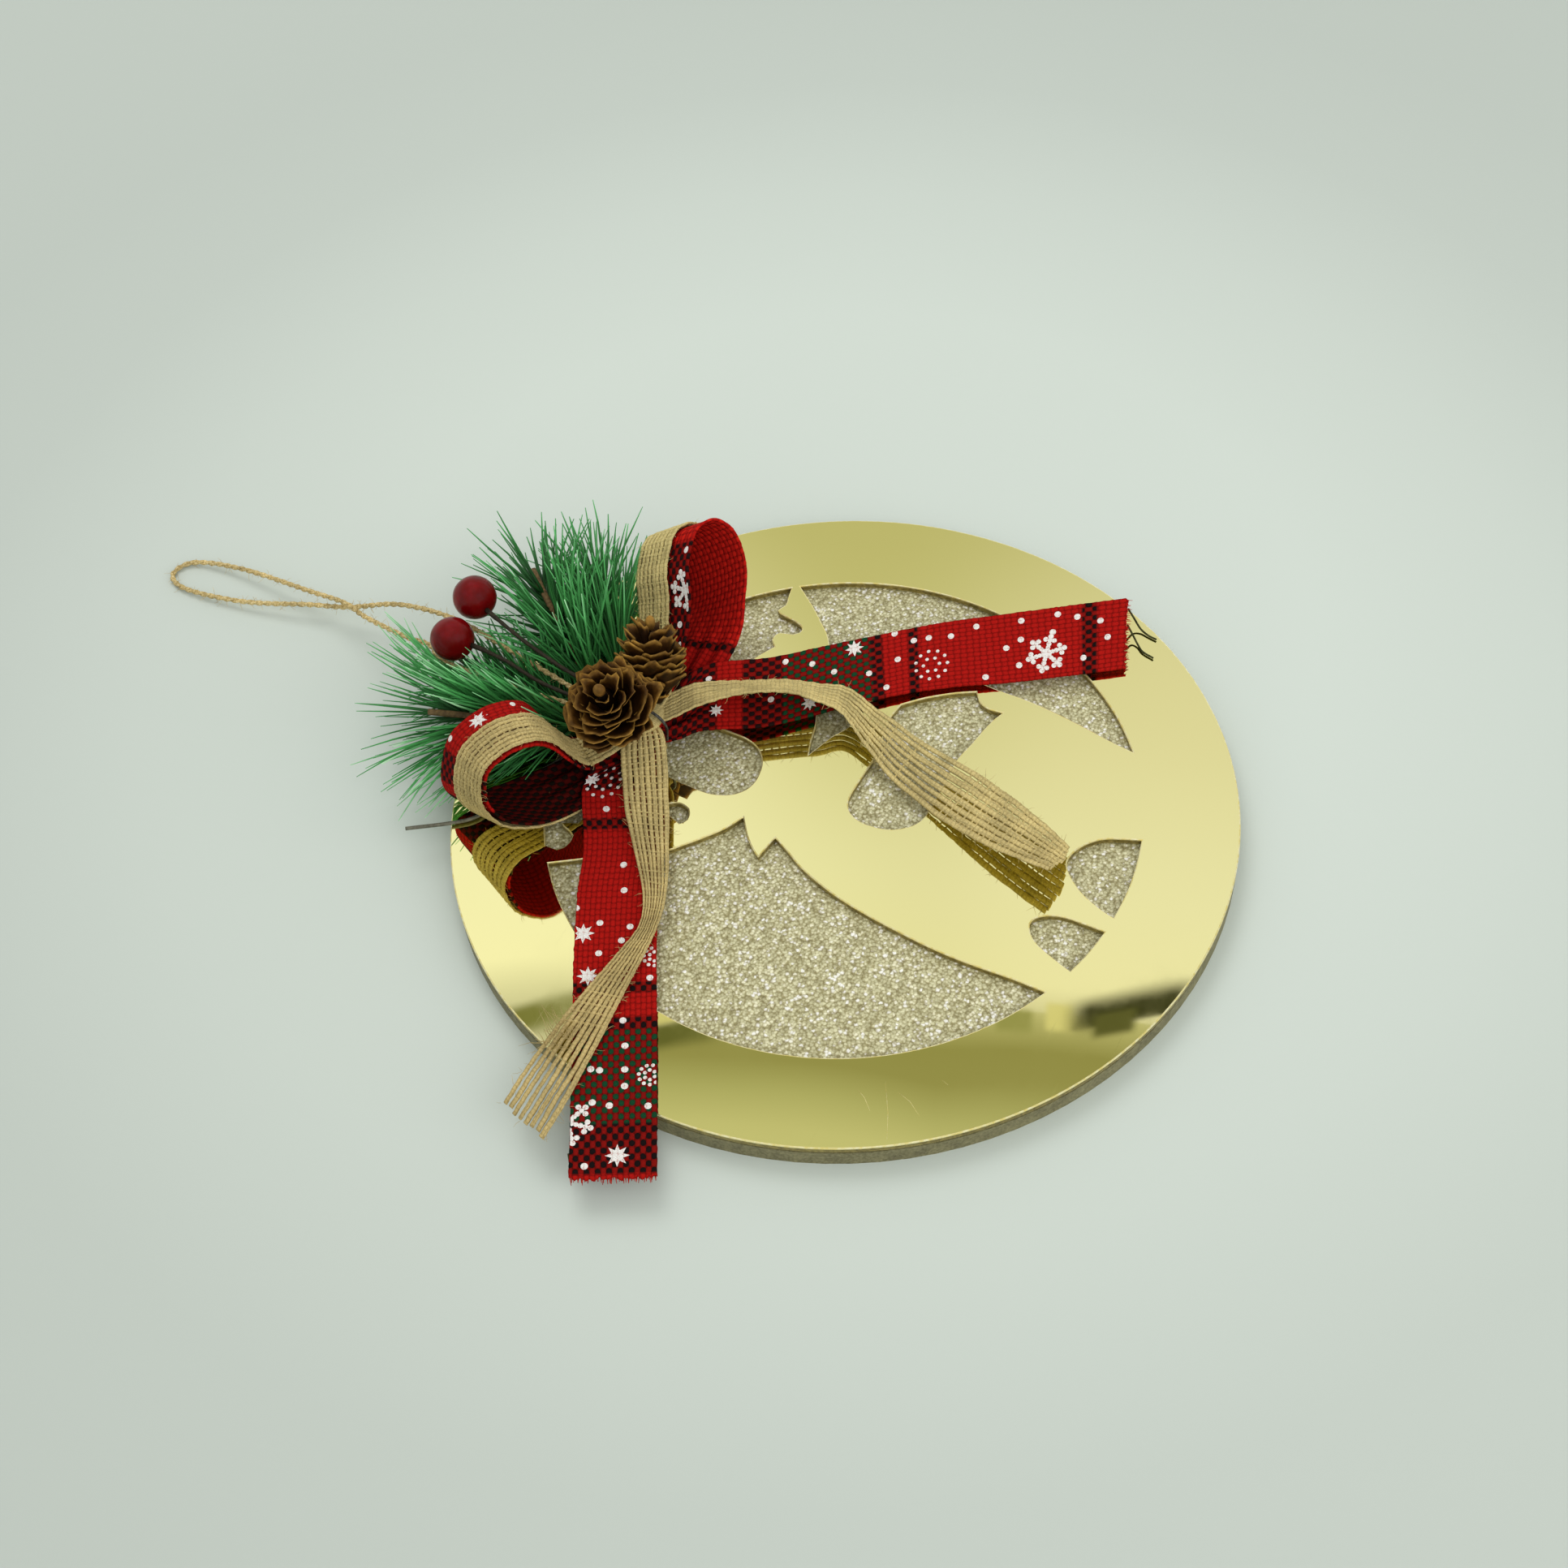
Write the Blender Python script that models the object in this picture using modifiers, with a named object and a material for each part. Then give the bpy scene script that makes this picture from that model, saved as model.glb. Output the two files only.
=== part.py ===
"""Hanging plaque: a round backing board under a gold mirror panel cut as a reindeer's head, trimmed
at the top with a double ribbon bow, pine sprigs, berries and cones, and hung from a twine loop.

Metres, +Z up. The origin is the middle of the board's back; +Y is the way the plaque hangs up.
Lists of places are in millimetres and say what they are measured from.
"""

import math
from itertools import product

import bmesh
import bpy
from mathutils import Matrix, Vector
from mathutils.geometry import intersect_line_line
from mathutils.bvhtree import BVHTree

MM = 0.001

# Plaque
DISC_DIAMETER = 0.200
RING_WIDTH = 0.0241
BOARD_THICKNESS = 0.0048
PANEL_THICKNESS = 0.0019
TOUCH_GAP = 0.0003
DISC_SIDES = 96
RIM_STEP = 6.0

# Bow
PLAID_WIDTH = 0.020
PLAID_THICKNESS = 0.0006
BURLAP_WIDTH = 0.0125
BURLAP_THICKNESS = 0.0009
LAYER_GAP = 0.0004
KNOT_LENGTH = 0.013
KNOT_DEPTH = 0.011
KNOT_HEIGHT = 0.006
KNOT_LIFT = 0.003
KNOT_WRAP = 0.004
CAP_HEIGHT = 0.0048
PAD_HEIGHT = 0.0021
BACK_STRAND = 0.0026
ROOT_LIFT = 0.0008
ROOT_FALL = 0.0009
ROOT_ROWS = 6
BINDING_WIRE = 0.0008

# Pick
BERRY_DIAMETER = 0.0117
BERRY_WIRE = 0.0011
PICK_WIRE = 0.0010
CONE_DIAMETER = 0.0250
CONE_LENGTH = 0.0200
SMALL_CONE_DIAMETER = 0.0215
SMALL_CONE_LENGTH = 0.0190
CONE_SCALES = 24
SCALE_THICKNESS = 0.0010
STEM_DIAMETER = 0.0020
NEEDLE_LENGTH = 0.0340
NEEDLE_WIDTH = 0.0011
NEEDLES = 46
NEEDLE_TESTS = 9
NEEDLE_ROOM = 0.0006
NEEDLE_FLOOR = 0.0012
NEEDLE_CROWD = 0.12
NEEDLE_SPREAD = 0.08
NEEDLE_TURN = 0.45
SHORT_NEEDLE = 0.6
FIRST_NEEDLE = 0.06
BASE_LEAN = 60.0
GOLDEN_ANGLE = math.radians(137.5)

# Hanging loop
TWINE_DIAMETER = 0.0018

disc_radius = DISC_DIAMETER / 2
window_radius = disc_radius - RING_WIDTH
panel_bottom = BOARD_THICKNESS + TOUCH_GAP
panel_top = panel_bottom + PANEL_THICKNESS
knot = Vector((-0.04 * disc_radius, 0.54 * disc_radius, panel_top + TOUCH_GAP))

# The windows of the panel, in hundredths of the window circle's radius. A rim stretch follows that
# circle between two angles in degrees; a curve runs smoothly through its points; corners are
# where two stretches meet.
WINDOWS = {
    "throat": [
        ("rim", -115.6, -231.5),
        ("curve", (-62.2, 78.2), (-56.5, 69.0), (-48.5, 56.5), (-43.0, 47.5), (-41.1, 43.7)),
        ("curve", (-41.1, 43.7), (-36.4, 39.5), (-31.6, 35.3), (-25.3, 30.5), (-19.3, 27.4)),
        ("curve", (-19.3, 27.4), (-25.3, 23.1), (-29.5, 19.0), (-32.1, 15.5)),
        ("curve", (-32.1, 15.5), (-22.7, 13.8)),
        ("curve", (-22.7, 13.8), (-26.9, 6.3), (-30.6, 0), (-35.6, -13.2), (-38.7, -26.3),
         (-40.8, -39.5), (-42.4, -52.7), (-42.9, -65.9), (-42.7, -79.0), (-43.2, -90.2)),
    ],
    "crown": [
        ("rim", 124.0, 97.5),
        ("curve", (-13.1, 99.1), (-16.0, 88.0), (-24.0, 79.0), (-35.0, 76.0), (-43.5, 77.5)),
        ("curve", (-43.5, 77.5), (-45.5, 82.5), (-47.0, 80.5), (-49.0, 76.5), (-54.2, 76.9),
         (-57.5, 80.5)),
    ],
    "eye": [
        ("curve", (-30.0, 46.0), (-27.5, 44.4), (-23.5, 46.0), (-22.7, 50.5), (-25.5, 54.0),
         (-29.5, 54.5)),
        ("curve", (-29.5, 54.5), (-28.3, 51.0), (-30.0, 46.0)),
    ],
    "ear": [
        ("curve", (0, 69.5), (-7.5, 67.5), (-13.0, 60.5), (-14.4, 50.0), (-14.5, 42.2), (-12.2, 35.8),
         (-8.4, 32.1), (-4.2, 30.8), (0, 31.0), (4.2, 32.1), (8.6, 35.3), (11.2, 40.5),
         (11.9, 47.5), (11.6, 55.0), (8.0, 65.5), (0, 69.5)),
    ],
    "nape": [
        ("curve", (14.2, 18.9), (19.4, 20.6), (26.4, 22.1), (34.0, 25.0)),
        ("curve", (34.0, 25.0), (40.0, 20.0), (38.0, 11.0)),
        ("curve", (38.0, 11.0), (29.9, 11.9), (24.6, 14.9), (14.2, 18.9)),
    ],
    "breast": [
        ("curve", (56.8, -34.3), (52.7, -32.7), (46.5, -31.2), (39.5, -29.9), (30.7, -28.1),
         (17.0, -28.4), (4.3, -27.7), (-0.9, -24.6), (-4.3, -19.4), (-5.3, -14.1), (-5.1, -8.8),
         (-2.6, -4.0), (2.6, -1.7), (13.2, -2.0), (25.0, -2.4), (38.0, 0.0), (46.5, -1.0)),
        ("curve", (46.5, -1.0), (52.5, -7.5), (58.5, -16.0), (62.0, -22.5)),
        ("curve", (62.0, -22.5), (58.2, -25.5), (56.6, -29.5), (56.8, -34.3)),
    ],
    "flank": [
        ("rim", 33.6, -54.3),
        ("curve", (58.4, -81.2), (59.8, -72.5), (62.3, -61.5), (64.6, -48.4), (65.6, -39.5),
         (65.9, -29.5), (66.5, -19.0), (64.0, -8.0), (57.5, 4.0), (52.0, 16.0), (53.0, 27.0),
         (65.3, 35.9)),
        ("curve", (65.3, 35.9), (74.5, 45.0), (83.3, 55.3)),
    ],
    "tine": [
        ("rim", 70.0, 35.6),
        ("curve", (81.3, 58.2), (76.4, 57.2), (73.0, 56.5), (69.6, 58.0), (68.0, 54.5), (67.2, 50.0),
         (65.6, 46.5), (63.5, 46.0), (61.3, 48.2), (60.4, 52.0), (58.6, 53.6), (55.8, 53.4),
         (53.4, 51.5)),
        ("curve", (53.4, 51.5), (47.0, 55.0), (39.0, 58.5), (34.0, 66.0), (33.5, 78.0),
         (34.2, 94.0)),
    ],
    "left_fringe": [
        ("rim", -109.0, -98.2),
        ("curve", (-14.3, -99.0), (-14.3, -85.4), (-16.9, -78.5), (-21.1, -76.2), (-26.4, -80.1),
         (-30.0, -87.5), (-32.6, -94.6)),
    ],
    "right_fringe": [
        ("rim", -94.6, -75.9),
        ("curve", (24.4, -97.0), (20.2, -86.0), (14.1, -80.0), (7.5, -78.0), (2.6, -80.4),
         (-3.0, -87.0), (-6.6, -94.9), (-8.0, -99.7)),
    ],
}

# Ribbon stations: how far the middle lies from the knot in X and Y and its height over the panel,
# in millimetres, the heading and tilt in degrees of the line across the ribbon, and its width
# as a share of the full width. Loops leave and come back to the knot; tails only leave it.
PLAID_LEFT_LOOP = [
    (-1, 0, 7.0, 55, 0, 0.40),
    (-8, 5.0, 6.6, 54, -6, 0.60),
    (-14.5, 11.5, 8.6, 52, -12, 0.82),
    (-18, 14.6, 16.2, 52, -10, 0.95),
    (-21, 16.5, 23.8, 52, -10, 1),
    (-25.2, 17.0, 29.6, 50, -12, 1),
    (-29.5, 19.2, 32.2, 51, -11, 1),
    (-33.5, 22.3, 31.8, 54, -10, 1),
    (-38, 26.8, 26.7, 62, -12, 1),
    (-40.7, 28.5, 17.7, 70, -18, 1),
    (-40.6, 28.3, 10.7, 74, -19, 1),
    (-38.5, 25.5, 5.6, 76, -12, 1),
    (-32, 19.0, 3.3, 74, -6, 1),
    (-21, 11.0, 2.8, 68, -3, 0.85),
    (-10, 4.5, 3.6, 62, 0, 0.60),
    (-1, 0, 5.0, 60, 0, 0.40),
]
PLAID_RIGHT_LOOP = [
    (1, 0, 7.0, 85, 0, 0.40),
    (10, 3.0, 6.9, 84, -10, 0.60),
    (20, 6.5, 8.6, 82, -20, 0.80),
    (28.5, 9.3, 12.6, 84, -30, 0.95),
    (33.5, 11.8, 18.0, 87, -33, 1),
    (36.5, 13.5, 22.5, 88, -34, 1),
    (40.5, 14.6, 25.0, 86, -34, 1),
    (46, 14.5, 28.5, 90, -36, 1),
    (51, 11.5, 28.0, 94, -37, 1),
    (52.8, 7.0, 24.0, 95, -38, 1),
    (51.6, 3.8, 18.2, 97, -39, 1),
    (49, 2.0, 12.8, 98, -38, 1),
    (45, 1.2, 8.8, 97, -34, 1),
    (37, 0.5, 5.6, 94, -18, 0.95),
    (26, 0, 4.3, 90, -8, 0.80),
    (13, 0, 4.4, 88, -2, 0.60),
    (1, 0, 5.0, 85, 0, 0.40),
]
PLAID_LEFT_TAIL = [
    (-1, -1, 5.4, -60, 0, 0.40),
    (-8, -1.0, 5.4, -56, 0, 0.75),
    (-16.5, -2.0, 4.3, -63, 0, 1),
    (-32, -10.5, 2.0, -64, 0, 1),
    (-45.5, -16.0, 0.9, -64, 0, 1),
    (-62, -24.2, 0.7, -64, 0, 1),
    (-76.5, -32.0, 0.7, -63, 0, 1),
    (-96, -42.4, 0.7, -63, 0, 1),
    (-115, -52.4, 0.3, -64, 0, 1),
]
PLAID_RIGHT_TAIL = [
    (1, -1, 6.2, 30, 0, 0.40),
    (8, -5.0, 6.4, 28, 8, 0.70),
    (16.6, -9.1, 5.9, 26, 12, 0.95),
    (26.5, -23.2, 4.2, 25, 13, 1),
    (42.5, -40.3, 2.8, 28, 7, 1),
    (55.5, -56.8, 2.6, 25, 9, 1),
    (66.6, -76.5, 3.7, 27, 15, 1),
    (81.7, -101.0, 4.4, 19, 20, 1),
]
BURLAP_LEFT_TAIL = [
    (-1, 0, 11.7, -60, 0, 0.55),
    (-5, -2.5, 11.5, -60, 0, 0.85),
    (-10.2, -5.4, 10.2, -58, 0, 0.95),
    (-23, -12.8, 5.4, -70, 0, 0.90),
    (-34.5, -20.2, 3.6, -72, 0, 0.66),
    (-44, -25.6, 2.7, -74, 0, 0.46),
    (-52.3, -28.0, 2.4, -76, 0, 0.37),
    (-61.4, -27.9, 2.3, -75, 0, 0.55),
    (-72, -27.3, 2.2, -77, 0, 0.76),
    (-88, -27.0, 2.2, -84, 0, 1.0),
    (-112, -26.7, 1.7, -108, 0, 1.18),
]
BURLAP_RIGHT_TAIL = [
    (1, 0, 11.2, 30, -4, 0.50),
    (6, -4.5, 11.6, 30, -11, 0.85),
    (12.9, -9.1, 11.2, 29, -20, 1),
    (20, -18.3, 10.6, 27, -33, 1),
    (25.5, -28.0, 9.8, 29, -34, 1),
    (28.2, -35.7, 8.0, 22, -29, 1),
    (30.2, -42.8, 5.7, 17, -16, 1),
    (26, -53.0, 3.6, 4, 0, 1),
    (20, -65.0, 3.6, -12, 18, 1),
    (15.5, -78.2, 3.8, -18, 20, 1),
    (10.5, -94.7, 4.4, -10, 0, 1),
    (5.3, -111.9, 5.6, -2, -30, 1),
]
LEFT_LOOP_EDGE = 0.0
RIGHT_LOOP_EDGE = 0.0045
LOOP_STEPS = 2
TAIL_STEPS = 2

# Places of the pick's pieces, measured as the ribbon stations are: from the knot, over the panel.
BERRY_PLACES = [(14.7, 58.0, 18.0), (1.7, 57.7, 15.0)]
BERRY_WIRES = [
    [(11.9, 52.1, 17.6), (7.5, 39.0, 16.5), (4.5, 26.0, 14.8), (3.5, 16.0, 13.0)],
    [(2.2, 50.4, 14.4), (1.6, 41.0, 13.4), (-0.6, 30.0, 12.6), (-1.2, 16.5, 12.0)],
]
PICK_WIRE_ROUTE = [(-5, 14, 0.6), (-18, 22, 0.6), (-32, 30.5, 0.6), (-43, 36, 0.6), (-48.5, 44.5, 0.6)]
BINDING_ARCH = [(-0.4, -6.7, 6.4), (-0.4, -6.9, 12.2), (-0.3, -3.6, 15.5), (-0.2, 2.0, 16.2),
                (-0.2, 8.4, 15.2), (-0.2, 11.2, 10.0), (-0.2, 11.0, 0.6)]
CONE_PLACE = (-9.8, 3.0, 27.4)
CONE_AXIS = (-0.54, -0.31, 0.78)
SMALL_CONE_PLACE = (12.2, 2.8, 23.0)
SMALL_CONE_AXIS = (0.36, 0.62, 0.70)

# Each sprig's stem, the lean of its end needles in degrees and their share of the full length.
SPRIGS = {
    "pine_sprig_left": ([(-4.5, 14, 6.0), (-11, 32, 7.5), (-17.9, 54.6, 8.0)], 56, 0.92),
    "pine_sprig_middle": ([(-1, 14, 3.4), (-1, 32, 4.2), (-2, 52, 5.0)], 34, 0.70),
    "pine_sprig_right": ([(3.5, 14, 6.0), (17, 32, 9.0), (33.5, 51.7, 13.0)], 34, 0.70),
    "pine_sprig_far": ([(8, 12.5, 3.4), (22, 24, 6.0), (39, 40, 9.0)], 34, 0.70),
}

# The twine from the knot, on the plaque side over the panel, and in its free loop over the floor.
TWINE_OUT = [(1.5, 13.8, 8.5), (4.5, 28, 9.2), (7.4, 43.2, 10.0), (10.5, 56.6, 10.0), (12.4, 65.8, 9.0),
             (13.5, 77.0, 7.0), (13.2, 86.9, 4.6)]
TWINE_LOOP = [(11.7, 100.6, 6.4), (9.4, 112.7, 4.6), (4.6, 132.1, 2.4), (3.0, 151.2, 1.1),
              (6.3, 158.5, 1.0), (12.7, 155.2, 1.1), (14.7, 139.0, 2.9), (12.8, 114.9, 6.0),
              (10.8, 100.7, 8.9)]
TWINE_BACK = [(7.2, 91.3, 3.6), (3.8, 75.6, 5.8), (2.7, 67.0, 7.4), (-1.2, 60.0, 8.0),
              (-1.8, 43.2, 8.4), (-1.6, 28.0, 8.6), (-0.9, 13.8, 8.6)]
TWINE_STEPS = 2

parts = bpy.data.collections.new("reindeer_ornament")
tools = bpy.data.collections.new("cutters")


def clear_scene():
    for leftover in list(bpy.data.objects):
        bpy.data.objects.remove(leftover)
    bpy.context.scene.collection.children.link(parts)
    bpy.context.scene.collection.children.link(tools)


def material(name, colour, roughness, metallic=0.0):
    made = bpy.data.materials.new(name)
    made.use_nodes = True
    shader = made.node_tree.nodes["Principled BSDF"]
    shader.inputs["Base Color"].default_value = (*colour, 1)
    shader.inputs["Roughness"].default_value = roughness
    shader.inputs["Metallic"].default_value = metallic
    return made


def add_object(name, data, colour=None, roughness=0.6, metallic=0.0):
    """A piece of the ornament when it has a colour, and a hidden helper when it has none."""
    made = bpy.data.objects.new(name, data)
    if colour:
        data.materials.append(material(name, colour, roughness, metallic))
        parts.objects.link(made)
    else:
        made.hide_render = True
        made.display_type = "WIRE"
        tools.objects.link(made)
    return made


def mesh_object(name, shape, **finish):
    """An object from a bmesh, which is freed."""
    bmesh.ops.recalc_face_normals(shape, faces=shape.faces)
    data = bpy.data.meshes.new(name)
    shape.to_mesh(data)
    shape.free()
    return add_object(name, data, **finish)


def from_knot(place):
    """The world place of a point that is given in millimetres from the knot."""
    return knot + Vector(place) * MM


def smooth(rows, steps):
    """Rows of numbers along the smooth curve through the rows given, with steps rows to a span."""
    rows = [Vector(row) for row in rows]
    rows = [rows[0] * 2 - rows[1], *rows, rows[-1] * 2 - rows[-2]]
    found = []
    for before, start, end, after in zip(rows, rows[1:], rows[2:], rows[3:]):
        for step in range(steps):
            t = step / steps
            found.append(
                start
                + (end - before) * (t / 2)
                + (before * 2 - start * 5 + end * 4 - after) * (t * t / 2)
                + (start * 3 - end * 3 + after - before) * (t * t * t / 2)
            )
    return [*found, rows[-2]]


def window_points(stretches):
    """The corner and curve points of one window, in metres, without the last repeated one."""
    share = window_radius / 100
    found = []
    for kind, *rest in stretches:
        if kind == "rim":
            start, end = rest
            count = max(2, round(abs(end - start) / RIM_STEP))
            angles = [math.radians(start + (end - start) * k / count) for k in range(count + 1)]
            line = [Vector((math.cos(a), math.sin(a))) * window_radius for a in angles]
        else:
            steps = 1 if len(rest) == 2 else 2
            line = [row * share for row in smooth(rest, steps)]
        found += line[:-1]
    return found


def circle_points(radius, count):
    angles = [2 * math.pi * k / count for k in range(count)]
    return [Vector((math.cos(a), math.sin(a))) * radius for a in angles]


def add_spline(curve, points, closed):
    line = curve.splines.new("POLY")
    line.points.add(len(points) - 1)
    for target, point in zip(line.points, points):
        target.co = (*point.to_3d(), 1)
    line.use_cyclic_u = closed


def flat_plate(name, outlines, thickness, bottom, **finish):
    """A plate with the outer outline first and its windows after it."""
    curve = bpy.data.curves.new(name, "CURVE")
    curve.dimensions = "2D"
    curve.fill_mode = "BOTH"
    curve.extrude = thickness / 2
    for outline in outlines:
        add_spline(curve, outline, closed=True)
    made = add_object(name, curve, **finish)
    made.location.z = bottom + thickness / 2
    return made


def wire(name, points, diameter, sides=2, **finish):
    """A round wire or twine along the points, with closed ends."""
    curve = bpy.data.curves.new(name, "CURVE")
    curve.dimensions = "3D"
    curve.bevel_depth = diameter / 2
    curve.bevel_resolution = sides
    curve.use_fill_caps = True
    add_spline(curve, points, closed=False)
    return add_object(name, curve, **finish)


def welded_copy(source):
    """A curve object made a closed mesh, in place of the curve."""
    bpy.context.view_layer.update()
    graph = bpy.context.evaluated_depsgraph_get()
    data = bpy.data.meshes.new_from_object(source.evaluated_get(graph))
    shape = bmesh.new()
    shape.from_mesh(data)
    bmesh.ops.remove_doubles(shape, verts=shape.verts, dist=1e-6)
    bmesh.ops.recalc_face_normals(shape, faces=shape.faces)
    shape.to_mesh(data)
    shape.free()
    made = bpy.data.objects.new(source.name + "_mesh", data)
    made.matrix_world = source.matrix_world
    bpy.data.objects.remove(source)
    return made


def unite(base, others, folded=False):
    """Joins the hidden solids to the base. Folded ones may cut through themselves."""
    for other in others:
        join = base.modifiers.new("join_" + other.name, "BOOLEAN")
        join.operation = "UNION"
        join.object = other
        join.use_self = folded
    return base


def across_line(heading, tilt):
    heading, tilt = math.radians(heading), math.radians(tilt)
    flat = math.cos(tilt)
    return Vector((flat * math.cos(heading), flat * math.sin(heading), math.sin(tilt)))


def ribbon_path(stations, width, steps):
    """Rows of middle, line across and width along a ribbon's stations."""
    path = []
    for row in smooth(stations, steps):
        x, y, z, heading, tilt, share = row
        path.append((from_knot((x, y, z)), across_line(heading, tilt), share * width))
    return path


def outer_layer(path, edge):
    """The path of the burlap laid on the outside of a plaid loop, that far in from its near edge."""
    middle = sum((row[0] for row in path), Vector()) / len(path)
    lift = (PLAID_THICKNESS + BURLAP_THICKNESS) / 2 + LAYER_GAP
    found = []
    for k, (place, across, width) in enumerate(path):
        along = path[min(k + 1, len(path) - 1)][0] - path[max(k - 1, 0)][0]
        out = along.cross(across).normalized()
        if out.dot(place - middle) < 0:
            out = -out
        narrow = min(BURLAP_WIDTH, width)
        inset = min(edge, max(0, width - narrow))
        side = across * (-width / 2 + inset + narrow / 2)
        found.append((place + out * lift + side, across, narrow))
    return found


def ribbon_strip(name, path, thickness):
    """One flat length of ribbon along a path, as a hidden solid."""
    shape = bmesh.new()
    rows = []
    for place, across, width in path:
        rows.append([shape.verts.new(place + across * (width * side)) for side in (-0.5, 0.5)])
    for (a, b), (c, d) in zip(rows, rows[1:]):
        shape.faces.new((a, b, d, c))
    made = mesh_object(name, shape)
    wall = made.modifiers.new("thickness", "SOLIDIFY")
    wall.thickness = thickness
    wall.offset = 0
    return made


def lump(name, place, size, **finish):
    """A gathered knot of ribbon: a rounded lump of the size given, lying at a place."""
    shape = bmesh.new()
    bmesh.ops.create_uvsphere(shape, u_segments=14, v_segments=8, radius=0.5)
    bmesh.ops.scale(shape, verts=shape.verts, vec=size)
    bmesh.ops.translate(shape, verts=shape.verts, vec=place)
    return mesh_object(name, shape, **finish)


def needle(shape, foot, tip):
    """One tapered needle, three-sided."""
    along = tip - foot
    turn = along.to_track_quat("Z", "Y").to_matrix().to_4x4()
    bmesh.ops.create_cone(shape, cap_ends=True, segments=3, radius1=NEEDLE_WIDTH / 2,
                          radius2=NEEDLE_WIDTH / 5, depth=along.length,
                          matrix=Matrix.Translation((foot + tip) / 2) @ turn)


def petal(shape, root, tip, side, width):
    """One thin cone scale from root to tip, widest past its middle."""
    line = tip - root
    half = line.cross(side).normalized() * (SCALE_THICKNESS / 2)
    outline = [root - side * (width * 0.2), root + line * 0.62 - side * (width * 0.5),
               tip - side * (width * 0.24), tip + side * (width * 0.24),
               root + line * 0.62 + side * (width * 0.5), root + side * (width * 0.2)]
    low = [shape.verts.new(point - half) for point in outline]
    high = [shape.verts.new(point + half) for point in outline]
    shape.faces.new(low)
    shape.faces.new(high[::-1])
    for k in range(len(outline)):
        n = (k + 1) % len(outline)
        shape.faces.new((low[k], low[n], high[n], high[k]))


def shell_of(thing):
    """The surface of a finished piece in world space, for measuring to."""
    graph = bpy.context.evaluated_depsgraph_get()
    shown = thing.evaluated_get(graph)
    data = shown.to_mesh()
    points = [thing.matrix_world @ vertex.co for vertex in data.vertices]
    faces = [tuple(face.vertices) for face in data.polygons]
    shown.to_mesh_clear()
    return BVHTree.FromPolygons(points, faces)


def is_clear(foot, tip, shells, room):
    """Whether the straight line from foot to tip stays that far from every shell."""
    line = tip - foot
    stops = [foot + line * (k / NEEDLE_TESTS) for k in range(NEEDLE_TESTS + 1)]
    for shell in shells:
        if shell.ray_cast(foot, line.normalized(), line.length)[0] is not None:
            return False
        if any(shell.find_nearest(stop, room)[0] is not None for stop in stops):
            return False
    return True


def crosses(foot, tip, others):
    """Whether a needle meets another one away from their feet."""
    line = tip - foot
    for other_foot, other_tip in others:
        nearest = intersect_line_line(foot, tip, other_foot, other_tip)
        if nearest is None:
            continue
        other = other_tip - other_foot
        share = (nearest[0] - foot).dot(line) / line.length_squared
        other_share = (nearest[1] - other_foot).dot(other) / other.length_squared
        if max(share, other_share) < NEEDLE_CROWD or max(share, other_share) > 1 + NEEDLE_CROWD:
            continue
        if min(share, other_share) > -NEEDLE_CROWD and (nearest[0] - nearest[1]).length < 1.5 * NEEDLE_WIDTH:
            return True
    return False


def make_plaque():
    flat_plate("backing_board", [circle_points(disc_radius, DISC_SIDES)], BOARD_THICKNESS, 0,
               colour=(0.42, 0.38, 0.30), roughness=0.7)
    outlines = [circle_points(disc_radius, DISC_SIDES)]
    outlines += [window_points(stretches) for stretches in WINDOWS.values()]
    flat_plate("mirror_panel", outlines, PANEL_THICKNESS, panel_bottom,
               colour=(0.80, 0.68, 0.25), roughness=0.08, metallic=1.0)


def make_plaid_ribbon(loops):
    """The plaid bow: two loops and two tails grown into its gathered middle."""
    tails = [ribbon_path(PLAID_LEFT_TAIL, PLAID_WIDTH, TAIL_STEPS),
             ribbon_path(PLAID_RIGHT_TAIL, PLAID_WIDTH, TAIL_STEPS)]
    strips = [ribbon_strip(f"plaid_run_{k}", path, PLAID_THICKNESS)
              for k, path in enumerate(loops + tails)]
    middle = knot + Vector((0, 0, KNOT_LIFT + KNOT_HEIGHT / 2))
    pinch = lump("plaid_ribbon", middle, (KNOT_LENGTH, KNOT_DEPTH, KNOT_HEIGHT),
                 colour=(0.55, 0.02, 0.02), roughness=0.85)
    unite(pinch, strips)


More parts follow.
